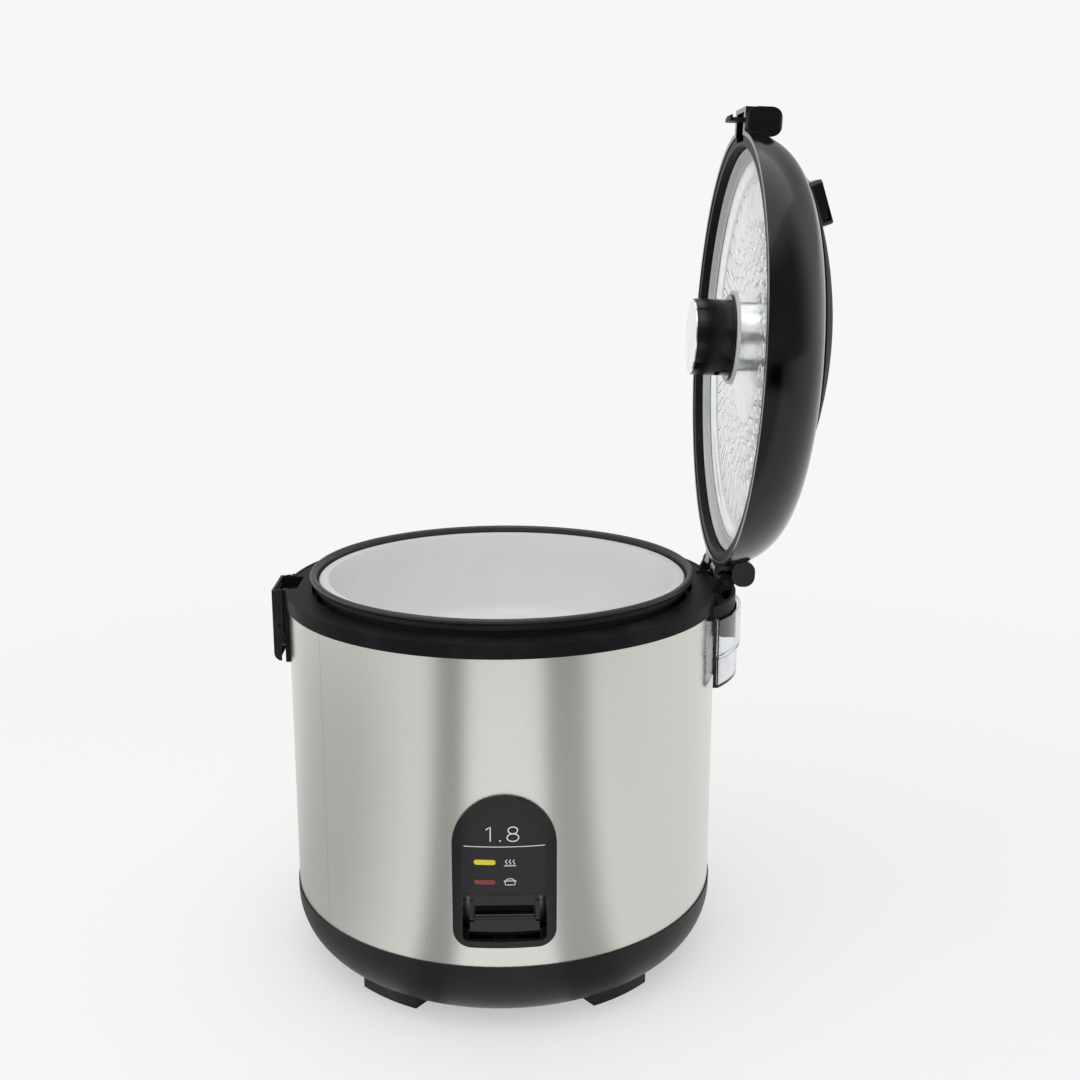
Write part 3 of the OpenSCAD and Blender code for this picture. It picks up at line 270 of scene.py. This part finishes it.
def turned_metal(name, light, dark, rough, rings=900.0):
    """Metal turned on a lathe about the body's axis."""
    f = Finish(name)
    angle, z, radius = from_axis(f)
    ring = f.noise(f.join(angle * 0.6, 0.0, (radius + z) * rings), 1.0, 3.0, 0.6)
    stain = f.noise(f.place(), 60.0, 3.0, 0.6)
    return f.surface(
        Base_Color=f.mix((ring * 0.6 + stain * 0.4).step(0.3, 0.7), dark, light),
        Metallic=1.0, Roughness=rough + ring * 0.12, Normal=f.bump(ring, 0.00003, 0.5))


def speckled(name, colour, fleck, rough, coat=0.0):
    """Coating or cast skin with fine flecks."""
    f = Finish(name)
    place = f.place()
    grain = f.noise(place, 1500.0, 3.0, 0.6)
    cloud = f.noise(place, 30.0, 2.0, 0.5)
    return f.surface(
        Base_Color=f.mix(grain.step(0.52, 0.72), colour, fleck),
        Roughness=rough + cloud * 0.08 + grain * 0.04, Coat_Weight=coat, Coat_Roughness=0.2,
        Normal=f.bump(grain, 0.00002, 0.6))


def pale_moulding(name, colour, shade, rough, through=0.15):
    """White moulding or silicone that lets a little light in."""
    f = Finish(name)
    place = f.place()
    grain = f.noise(place, 1800.0, 2.0, 0.5)
    cloud = f.noise(place, 26.0, 3.0, 0.55)
    return f.surface(
        Base_Color=f.mix(cloud.step(0.35, 0.75), shade, colour), Roughness=rough + grain * 0.06,
        Subsurface_Weight=through, Subsurface_Radius=(0.004, 0.004, 0.004),
        Normal=f.bump(grain, 0.00002, 0.5, f.soft_edge(0.0004)))


def clear_moulding(name, tint):
    """Clear moulding with a cool tint and faint flow marks."""
    f = Finish(name)
    flow = f.noise(f.place(), 34.0, 2.0, 0.4)
    return f.surface(
        Base_Color=f.mix(flow.step(0.3, 0.8), tint, (1.0, 1.0, 1.0)),
        Roughness=0.03 + flow * 0.03, Transmission_Weight=1.0, IOR=1.45,
        Normal=f.bump(flow, 0.00015, 0.3))


def wire_metal(name, colour, rough=0.3):
    """Plated steel or brass of screws, pins and wire."""
    f = Finish(name)
    place = f.place()
    mottle = f.noise(place, 420.0, 3.0, 0.6)
    dark = tuple(c * 0.7 for c in colour)
    return f.surface(
        Base_Color=f.mix(mottle.step(0.35, 0.7), dark, colour), Metallic=1.0,
        Roughness=rough + mottle * 0.15, Normal=f.bump(mottle, 0.00002, 0.4))


def printed(name, colour, glow=0.0):
    """Screen-printed ink, slightly uneven, which stays legible in shade by a weak glow."""
    f = Finish(name)
    ink = f.noise(f.place(), 2400.0, 2.0, 0.5)
    dark = tuple(c * 0.82 for c in colour)
    return f.surface(Base_Color=f.mix(ink, dark, colour), Roughness=0.45 + ink * 0.1,
                     Emission_Color=(*colour, 1), Emission_Strength=glow,
                     Normal=f.bump(ink, 0.00001, 0.4))


def lens_plastic(name, colour, glow):
    """Coloured window over a lamp, paler where it is thick, with a weak painted glow of its own.
    """
    f = Finish(name)
    cloud = f.noise(f.place(), 500.0, 2.0, 0.5)
    dark = tuple(c * 0.8 for c in colour)
    # Painted glow: the window emits a little light itself, not light from the lamp under it.
    return f.surface(Base_Color=f.mix(cloud, dark, colour), Roughness=0.16 + cloud * 0.05,
                     Coat_Weight=0.25, Coat_Roughness=0.05, Emission_Color=(*colour, 1),
                     Emission_Strength=glow, Normal=f.bump(cloud, 0.00001, 0.3))


def polished_sheet(name, rough):
    """Bright rolled aluminium with faint turning and wipe marks."""
    f = Finish(name)
    place = f.place()
    wipe = f.noise(place, 70.0, 4.0, 0.6)
    fine = f.noise(place, 1400.0, 2.0, 0.5)
    return f.surface(
        Base_Color=f.mix(wipe.step(0.35, 0.7), (0.86, 0.875, 0.885), (0.965, 0.97, 0.975)),
        Metallic=1.0, Roughness=rough + wipe * 0.08, Normal=f.bump(fine, 0.00001, 0.5))


finishes = {
    "steel_shell": brushed_steel("steel_shell", (0.73, 0.716, 0.671), (0.705, 0.691, 0.647),
                                 0.245),
    "black_satin": moulded("black_satin", (0.011, 0.011, 0.0125), 0.42, shine=0.12),
    "black_gloss": polished("black_gloss", (0.006, 0.006, 0.0075), 0.13),
    "foot_rubber": moulded("foot_rubber", (0.028, 0.028, 0.028), 0.62, grain=0.00006, wear=0.03),
    "screw_steel": wire_metal("screw_steel", (0.62, 0.62, 0.60)),
    "liner_steel": turned_metal("liner_steel", (0.78, 0.79, 0.80), (0.62, 0.63, 0.64),
                                0.24, 500.0),
    "plate_aluminium": turned_metal("plate_aluminium", (0.72, 0.73, 0.74), (0.55, 0.56, 0.57),
                                    0.3),
    "element_steel": wire_metal("element_steel", (0.36, 0.33, 0.31), 0.4),
    "mica": speckled("mica", (0.46, 0.45, 0.42), (0.62, 0.61, 0.57), 0.55),
    "ceramic": pale_moulding("ceramic", (0.82, 0.80, 0.74), (0.72, 0.70, 0.64), 0.4),
    "thermostat": moulded("thermostat", (0.10, 0.075, 0.06), 0.45),
    "spring_steel": wire_metal("spring_steel", (0.55, 0.55, 0.54), 0.25),
    "ferrite": speckled("ferrite", (0.06, 0.06, 0.065), (0.14, 0.14, 0.14), 0.6),
    "brass": wire_metal("brass", (0.72, 0.55, 0.24), 0.24),
    "key_black": polished("key_black", (0.005, 0.005, 0.0065), 0.1, shine=0.4),
    "switch_black": moulded("switch_black", (0.03, 0.03, 0.03), 0.5),
    "label_black": moulded("label_black", (0.018, 0.018, 0.021), 0.30, grain=0.00001, wear=0.005),
    # Both lenses carry a weak painted glow; the lamps under them give no light.
    "lens_yellow": lens_plastic("lens_yellow", (0.76, 0.64, 0.03), 0.22),
    "lens_red": lens_plastic("lens_red", (0.25, 0.022, 0.022), 0.05),
    "holder_cream": pale_moulding("holder_cream", (0.80, 0.76, 0.66), (0.7, 0.66, 0.56), 0.5),
    "lamp_glass": clear_moulding("lamp_glass", (0.95, 0.62, 0.38)),
    "pot_coating": speckled("pot_coating", (0.028, 0.028, 0.029), (0.055, 0.055, 0.056), 0.36,
                            coat=0.12),
    "tray_white": pale_moulding("tray_white", (0.92, 0.92, 0.915), (0.89, 0.89, 0.885), 0.38),
    "gasket": pale_moulding("gasket", (0.80, 0.82, 0.83), (0.70, 0.72, 0.73), 0.35, 0.3),
    "lid_plate": polished_sheet("lid_plate", 0.17),
    "end_polished": polished_sheet("end_polished", 0.06),
    "clear": clear_moulding("clear", (0.93, 0.94, 0.985)),
}

# Looks of single pieces that share a slot with others but differ a little from them.
base_black = moulded("base_black", (0.016, 0.016, 0.0175), 0.40, shine=0.2)
ring_black = moulded("ring_black", (0.012, 0.012, 0.0135), 0.38, shine=0.05)
bezel_black = polished("bezel_black", (0.013, 0.013, 0.015), 0.2, shine=0.25)
pod_black = moulded("pod_black", (0.008, 0.008, 0.0095), 0.55, wear=0.006, shine=0.12)
plate_beads = polished_sheet("plate_beads", 0.30)
print_white = printed("print_white", (0.9, 0.9, 0.9), 0.25)
mark_grey = printed("mark_grey", (0.55, 0.56, 0.57))


# ---- Pieces ----

SHARP_EDGE = math.radians(32)


def shade_whole(mesh):
    """Merge the loose triangles of a mesh and shade it smoothly, apart from sharp edges."""
    bm = bmesh.new()
    bm.from_mesh(mesh)
    bmesh.ops.remove_doubles(bm, verts=bm.verts, dist=2e-6)
    bmesh.ops.dissolve_degenerate(bm, edges=bm.edges, dist=1e-6)
    for face in bm.faces:
        face.smooth = True
    for edge in bm.edges:
        edge.smooth = len(edge.link_faces) == 2 and edge.calc_face_angle(0.0) < SHARP_EDGE
    bm.to_mesh(mesh)
    bm.free()


def new_piece(name, mesh, body, slot, finish=None):
    """A finished piece on its body, in the slot's finish unless it has its own."""
    piece = bpy.data.objects.new(name, mesh)
    bpy.context.scene.collection.objects.link(piece)
    mesh.materials.clear()
    mesh.materials.append(finish or finishes[slot])
    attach(piece, body)
    return piece


def dress_node(name, finish=None):
    """A smoothly shaded copy of a node in its finish, which stands for the node."""
    mesh = nodes[name].data.copy()
    mesh.name = name + "_skin"
    shade_whole(mesh)
    piece = new_piece(mesh.name, mesh, body_of[name], slot_of[name], finish)
    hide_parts(name)
    return piece


def paint_node(name):
    """A node that keeps its own mesh and only gets its finish."""
    mesh = nodes[name].data
    mesh.materials.clear()
    mesh.materials.append(finishes[slot_of[name]])


# Small nodes inside the housing or behind other pieces, which are only painted.
INNER = {
    "band_heater", "heating_element", "plate_spacers", "thermal_fuse", "warm_thermostat",
    "sensor_bracket", "magnet", "magnet_rod", "pivot_pin", "switch_bracket", "micro_switch",
    "lamp_holder", "indicator_lamps", "lid_screws", "hinge_spring", "latch_pin", "ring_screws",
    "inlet_pins",
}
OWN_FINISH = {"lid_pod": pod_black, "base_cup": base_black, "latch_lever": base_black,
              "top_ring": ring_black, "control_bezel": bezel_black}
skins = {}
for node_name in nodes:
    if node_name in INNER:
        paint_node(node_name)
    else:
        skins[node_name] = dress_node(node_name, OWN_FINISH.get(node_name))

# Each spring: its joint, the way it shortens, its fixed end and what is left of its length.
SPRINGS = {
    "lever_spring": ("cook_press", (0, 0, 1), (0, -0.09, 0.0095), 0.91),
    "sensor_spring": ("sensor_press", (0, 0, 1), (0, 0, 0.055), 0.58),
    "latch_spring": ("latch_press", (1, 0, 0), (-0.1309, 0, 0.189), 0.64),
}
for spring, (joint, way, fixed_end, kept_length) in SPRINGS.items():
    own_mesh(skins[spring])

# ---- Print on the label ----

MM = 0.001
STROKE_PART = 2.0    # the longest straight part of a stroke on a round wall, in millimetres
LABEL_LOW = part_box("label_plate")[0]
PRINT_R = -LABEL_LOW[1] + 0.00006


def wall_strokes(name, lines, width, radius, side_y):
    """A mesh of flat strokes on a round wall at +Y or -Y, from points in millimetres."""
    bm = bmesh.new()

    def put(x, z):
        x, z = x * MM, z * MM
        return bm.verts.new((x, side_y * math.sqrt(radius ** 2 - x ** 2), z))

    for line in lines:
        fine = []
        for (x0, z0), (x1, z1) in zip(line, line[1:]):
            count = max(1, math.ceil(abs(x1 - x0) / STROKE_PART))
            fine += [(x0 + (x1 - x0) * i / count, z0 + (z1 - z0) * i / count)
                     for i in range(count)]
        fine.append(line[-1])
        closed = line[0] == line[-1] and len(line) > 2
        rows = []
        for i, (x, z) in enumerate(fine):
            before = fine[i - 1] if i else (fine[-2] if closed else fine[0])
            after = fine[i + 1] if i + 1 < len(fine) else (fine[1] if closed else fine[-1])
            way = Vector((after[0] - before[0], after[1] - before[1])).normalized()
            side = Vector((-way.y, way.x)) * width / 2
            rows.append((put(x + side.x, z + side.y), put(x - side.x, z - side.y)))
        for (a, b), (c, d) in zip(rows, rows[1:]):
            bm.faces.new((b, d, c, a))
    for face in bm.faces:
        face.normal_update()
        if face.normal.y > 0:
            face.normal_flip()
    mesh = bpy.data.meshes.new(name)
    bm.to_mesh(mesh)
    bm.free()
    return mesh


def label_print(name, lines, width):
    """White print on the label's round face."""
    strokes = wall_strokes(name, lines, width, PRINT_R, -1)
    new_piece(name, strokes, "body", "label_black", print_white)


def oval(x, z, half_x, half_z, start=0.0, end=360.0, count=28):
    """The points of an ellipse, or of a part of it between two angles in degrees."""
    return [(x + half_x * math.cos(math.radians(start + (end - start) * i / count)),
             z + half_z * math.sin(math.radians(start + (end - start) * i / count)))
            for i in range(count + 1)]


label_foot = LABEL_LOW[2] / MM
warm_z, cook_z = ((low[2] + high[2]) / 2 / MM
                  for low, high in map(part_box, ("warm_lens", "cook_lens")))
line_z = label_foot + 27.5
line_reach = 21.6
number_low = label_foot + 30.6
number_high = number_low + 8.6
middle = (number_low + number_high) / 2
NUMBER_STROKE, POINT_STROKE, FINE_STROKE = 0.55, 0.8, 0.4

label_print("panel_number", [
    [(-9.8, number_high - 2.0), (-7.4, number_high - 0.3), (-7.4, number_low)],
    oval(4.6, middle + 2.05, 2.5, 1.95), oval(4.6, middle - 2.1, 3.1, 2.2)], NUMBER_STROKE)
label_print("panel_point", [[(-2.2, number_low), (-2.2, number_low + 0.8)]], POINT_STROKE)
label_print("panel_line", [[(-line_reach, line_z), (line_reach, line_z)]], FINE_STROKE)
steam = [[(x + 0.45 * math.sin(t * 1.05), warm_z - 1.3 + 0.4 * t) for t in range(8)]
         for x in (1.0, 3.0, 5.0)]
plate_under = [(-0.2, warm_z - 2.0), (6.2, warm_z - 2.0)]
label_print("warm_mark", steam + [plate_under], FINE_STROKE)
label_print("cook_mark", [
    [(0.2, cook_z + 0.5), (0.5, cook_z - 1.7), (5.5, cook_z - 1.7), (5.8, cook_z + 0.5)],
    [(-0.4, cook_z + 0.6), (6.4, cook_z + 0.6)],
    oval(3.0, cook_z + 0.7, 2.2, 1.2, 0, 180, 12)], FINE_STROKE)

# ---- Level marks inside the pot ----

POT_WALL = 0.1075 - 0.00008     # the pot's inner radius, less the print's thickness
LEVEL_FOOT = 96                 # one step under the first mark, in millimetres
LEVEL_STEP = 20.5
MARK_STROKE = 0.45
DIGIT_WIDE, DIGIT_TALL = 2.6, 3.2
DIGIT_STARTS = (12, -15)        # a digit on each side of the marks
DIGITS = [
    [[(0.3, 0.8), (0.6, 1), (0.6, 0)]],
    [[(0, 0.75), (0.2, 1), (0.7, 1), (0.9, 0.75), (0, 0), (0.9, 0)]],
    [[(0, 1), (0.9, 1), (0.4, 0.55), (0.9, 0.3), (0.6, 0), (0, 0.1)]],
    [[(0.7, 0), (0.7, 1), (0, 0.3), (0.9, 0.3)]],
    [[(0.9, 1), (0.1, 1), (0.1, 0.55), (0.7, 0.55), (0.9, 0.3), (0.6, 0), (0, 0)]],
    [[(0.7, 1), (0.1, 0.45), (0.1, 0.1), (0.4, 0), (0.8, 0.1), (0.8, 0.45), (0.1, 0.45)]],
]

marks = []
for level, strokes in enumerate(DIGITS, 1):
    height = LEVEL_FOOT + LEVEL_STEP * level
    marks += [[(-10, height), (-1.5, height)], [(1.5, height), (10, height)]]
    for stroke in strokes:
        marks += [[(x + DIGIT_WIDE * a, height + DIGIT_TALL * (b - 0.5)) for a, b in stroke]
                  for x in DIGIT_STARTS]
new_piece("pot_marks", wall_strokes("pot_marks", marks, MARK_STROKE, POT_WALL, 1),
          "pot", "pot_coating", mark_grey)

# ---- Ornament of the inner lid, made flat and then turned with the open lid ----

LOOP_SIZES = ("Count", "Ring radius", "Half length", "Half width")


def loop_rows(rows, wire, finish):
    """Rings of long loops, lying round the lid's middle."""
    tree = bpy.data.node_groups.new("loop_rows", "GeometryNodeTree")
    face = tree.interface
    face.new_socket("Geometry", in_out="OUTPUT", socket_type="NodeSocketGeometry")
    wire_socket = face.new_socket("Wire radius", in_out="INPUT", socket_type="NodeSocketFloat")
    inputs = {}
    for i in range(len(rows)):
        for part in LOOP_SIZES:
            kind = "NodeSocketInt" if part == "Count" else "NodeSocketFloat"
            inputs[i, part] = face.new_socket(f"{part} {i + 1}", in_out="INPUT", socket_type=kind)

    def node(kind, settings=None, **links):
        made = tree.nodes.new(kind)
        for key, value in (settings or {}).items():
            setattr(made, key, value)
        for key, value in links.items():
            socket = made.inputs[key.replace("_", " ")]
            if isinstance(value, bpy.types.NodeSocket):
                tree.links.new(value, socket)
            else:
                socket.default_value = value
        return made

    given = tree.nodes.new("NodeGroupInput")
    joined = node("GeometryNodeJoinGeometry")
    profile = node("GeometryNodeCurvePrimitiveCircle", Resolution=6,
                   Radius=given.outputs["Wire radius"])
    place = node("GeometryNodeInputPosition")
    for i in range(len(rows)):
        part = {p: given.outputs[f"{p} {i + 1}"] for p in LOOP_SIZES}
        size = node("ShaderNodeCombineXYZ", X=part["Half length"], Y=part["Half width"], Z=1.0)
        circle = node("GeometryNodeCurvePrimitiveCircle", Resolution=22, Radius=1.0)
        shaped = node("GeometryNodeTransform", Geometry=circle.outputs["Curve"],
                      Scale=size.outputs[0])
        loop = node("GeometryNodeCurveToMesh", Curve=shaped.outputs[0],
                    Profile_Curve=profile.outputs["Curve"])
        ring = node("GeometryNodeMeshCircle", Vertices=part["Count"], Radius=part["Ring radius"])
        turn = node("FunctionNodeAlignEulerToVector", {"axis": "X"}, Vector=place.outputs[0])
        laid = node("GeometryNodeInstanceOnPoints", Points=ring.outputs[0],
                    Instance=loop.outputs[0], Rotation=turn.outputs[0])
        tree.links.new(laid.outputs[0], joined.inputs[0])
    real = node("GeometryNodeRealizeInstances", Geometry=joined.outputs[0])
    smooth = node("GeometryNodeSetShadeSmooth", Geometry=real.outputs[0])
    coloured = node("GeometryNodeSetMaterial", Geometry=smooth.outputs[0], Material=finish)
    result = tree.nodes.new("NodeGroupOutput")
    tree.links.new(coloured.outputs[0], result.inputs[0])

    holder = bpy.data.objects.new("loop_rows", bpy.data.meshes.new("loop_rows"))
    bpy.context.scene.collection.objects.link(holder)
    change = holder.modifiers.new("loops", "NODES")
    change.node_group = tree
    change[wire_socket.identifier] = wire
    for i, values in enumerate(rows):
        for part, value in zip(LOOP_SIZES, values):
            change[inputs[i, part].identifier] = value
    graph = bpy.context.evaluated_depsgraph_get()
    mesh = bpy.data.meshes.new_from_object(holder.evaluated_get(graph), depsgraph=graph)
    bpy.data.objects.remove(holder)
    return mesh


joints = {j["name"]: j for j in record["behaviour"]["joints"]}
hinge = Vector(joints["lid_hinge"]["pos_m"])
OPEN_ANGLE = math.radians(92)
PLATE_LEVEL = 0.2395 + 0.00012    # the plate's face on the closed lid, plus the beads' lift
BEAD_WIRE = 0.0004                # radius of the loops' wire
open_turn = (Matrix.Translation(hinge) @ Matrix.Rotation(OPEN_ANGLE, 4, "Y")
             @ Matrix.Translation(-hinge))
ornament = loop_rows([(46, 0.0865, 0.0118, 0.0027), (38, 0.0680, 0.0052, 0.0040),
                      (30, 0.0570, 0.0050, 0.0042), (22, 0.0455, 0.0050, 0.0046)],
                     BEAD_WIRE, plate_beads)
ornament.transform(open_turn @ Matrix.Translation((0, 0, PLATE_LEVEL)))
new_piece("lid_ornament", ornament, "inner_lid", "lid_plate")

# ---- Studio ----

FLOOR_REACH = 30     # metres from the middle to each side
FLOOR_TONE = 0.93    # the backdrop's own brightness
FLOOR_LIT = 0.657    # the open floor's brightness under the lamps
ROOM_LEVEL = 0.46    # soft light from all round, on matt surfaces
FRONT_DIM = 0.8      # how much darker polished surfaces see the room behind the viewer
BACK_DIM = 0.6       # the same for a low band behind the object
FLAG_DIM = 0.6       # two dark flags on the floor, left and right of the front
LEFT_DIM = 0.43      # the near floor on the left
BEHIND_DIM = 0.7     # the far floor behind the viewer
RIGHT_DIM = 0.05     # the floor on the right
FRONT_GAIN = 0.12    # the bright floor between the flags
DARK_MIDDLE = 12     # where the dim room is darkest, in degrees round from the front


def turn_round(x, y):
    """Degrees round the object, 0 in front and positive to the right."""
    return x.math("ARCTAN2", 0 - y) * (180 / math.pi)


def studio_world():
    """Pale backdrop, also in metal and glass, with a dim room behind the viewer.

    In a world, Generated coordinates are the direction that a ray takes.
    """
    f = Finish("studio", world=True)
    camera_ray, glossy, through = light_path(f)
    seen = camera_ray.math("MAXIMUM", glossy).math("MAXIMUM", through)
    x, y, z = f.split(f.outputs(f.add("ShaderNodeTexCoord"))["Generated"])
    turn = turn_round(x, y)
    dim_front = ((1 - (turn - DARK_MIDDLE).math("ABSOLUTE").step(50.0, 95.0))
                 * (1 - z.step(0.62, 0.92)))
    dim_back = turn.math("ABSOLUTE").step(100.0, 145.0) * z.band((0.1, 0.22), (0.5, 0.8))
    level = 1 - glossy * (dim_front * FRONT_DIM + dim_back * BACK_DIM)
    pale = f.add("ShaderNodeBackground", None,
                 {"Color": (FLOOR_TONE,) * 3 + (1,), "Strength": level})
    room = f.add("ShaderNodeBackground", None,
                 {"Color": (1.0, 0.995, 0.985, 1), "Strength": ROOM_LEVEL})
    mixed = f.add("ShaderNodeMixShader", None, {0: seen, 1: room, 2: pale})
    f.add("ShaderNodeOutputWorld", None, {"Surface": mixed})
    return f.block


def floor_finish():
    """Pale floor that keeps a soft shadow near the object and fades into the backdrop.

    Metal and glass see it pale too, with the shade of the flags on either side of the front.
    """
    f = Finish("floor")
    x, y, _ = f.split(f.place())
    reach = (x * x + y * y).math("SQRT")
    far = reach.step(0.35, 1.1)
    camera_ray, glossy, through = light_path(f)
    mirrored = glossy.math("MAXIMUM", through)
    turn = turn_round(x, y)
    flags = (turn.band((-36.0, -28.0), (-21.0, -15.0)) * 1.04
             + turn.band((17.0, 22.0), (34.0, 46.0)) * 0.87)
    front = turn.band((-19.0, -15.0), (16.0, 20.0))
    left = turn.band((-155.0, -95.0), (-78.0, -30.0)) * (1 - reach.step(0.7, 1.0))
    right = turn.band((44.0, 60.0), (95.0, 155.0))
    behind = ((1 - (turn - DARK_MIDDLE).math("ABSOLUTE").step(25.0, 60.0))
              * reach.step(1.2, 2.2))
    kept = 0.3 + far * 0.7    # how much of the floor the backdrop's own light makes
    share = (camera_ray * kept).math("MAXIMUM", mirrored * 0.9)
    open_floor = (FLOOR_TONE - (1 - kept) * FLOOR_LIT) / kept / FLOOR_TONE
    dim = (flags * FLAG_DIM + left * LEFT_DIM + behind * BEHIND_DIM - front * FRONT_GAIN
           + right * RIGHT_DIM)
    level = 1 - glossy * dim + camera_ray * (open_floor - 1)
    matt = f.add("ShaderNodeBsdfDiffuse", None, {"Color": (0.9, 0.9, 0.9, 1)})
    pale = f.add("ShaderNodeEmission", None,
                 {"Color": (FLOOR_TONE,) * 3 + (1,), "Strength": level})
    mixed = f.add("ShaderNodeMixShader", None, {0: share, 1: matt, 2: pale})
    f.add("ShaderNodeOutputMaterial", None, {"Surface": mixed})
    return f.block


bpy.context.scene.world = studio_world()
floor_mesh = bpy.data.meshes.new("floor")
floor_bm = bmesh.new()
bmesh.ops.create_grid(floor_bm, x_segments=1, y_segments=1, size=FLOOR_REACH)
floor_bm.to_mesh(floor_mesh)
floor_bm.free()
floor = bpy.data.objects.new("floor", floor_mesh)
floor_mesh.materials.append(floor_finish())
bpy.context.scene.collection.objects.link(floor)


def soft_box(name, place, target, size, power):
    """A rectangular lamp, size wide and high in metres, which points at a target."""
    light = bpy.data.lights.new(name, "AREA")
    light.shape = "RECTANGLE"
    light.size, light.size_y = size
    light.energy = power
    lamp = bpy.data.objects.new(name, light)
    lamp.location = place
    lamp.rotation_euler = (Vector(target) - Vector(place)).to_track_quat("-Z", "Y").to_euler()
    bpy.context.scene.collection.objects.link(lamp)


LAMP_WATTS = 10.7
soft_box("key_light", (-0.5, -1.2, 1.9), (0, 0, 0.2), (2.4, 2.0), LAMP_WATTS)
soft_box("top_light", (0.1, 0.2, 2.2), (0, 0, 0.1), (2.6, 2.6), LAMP_WATTS)
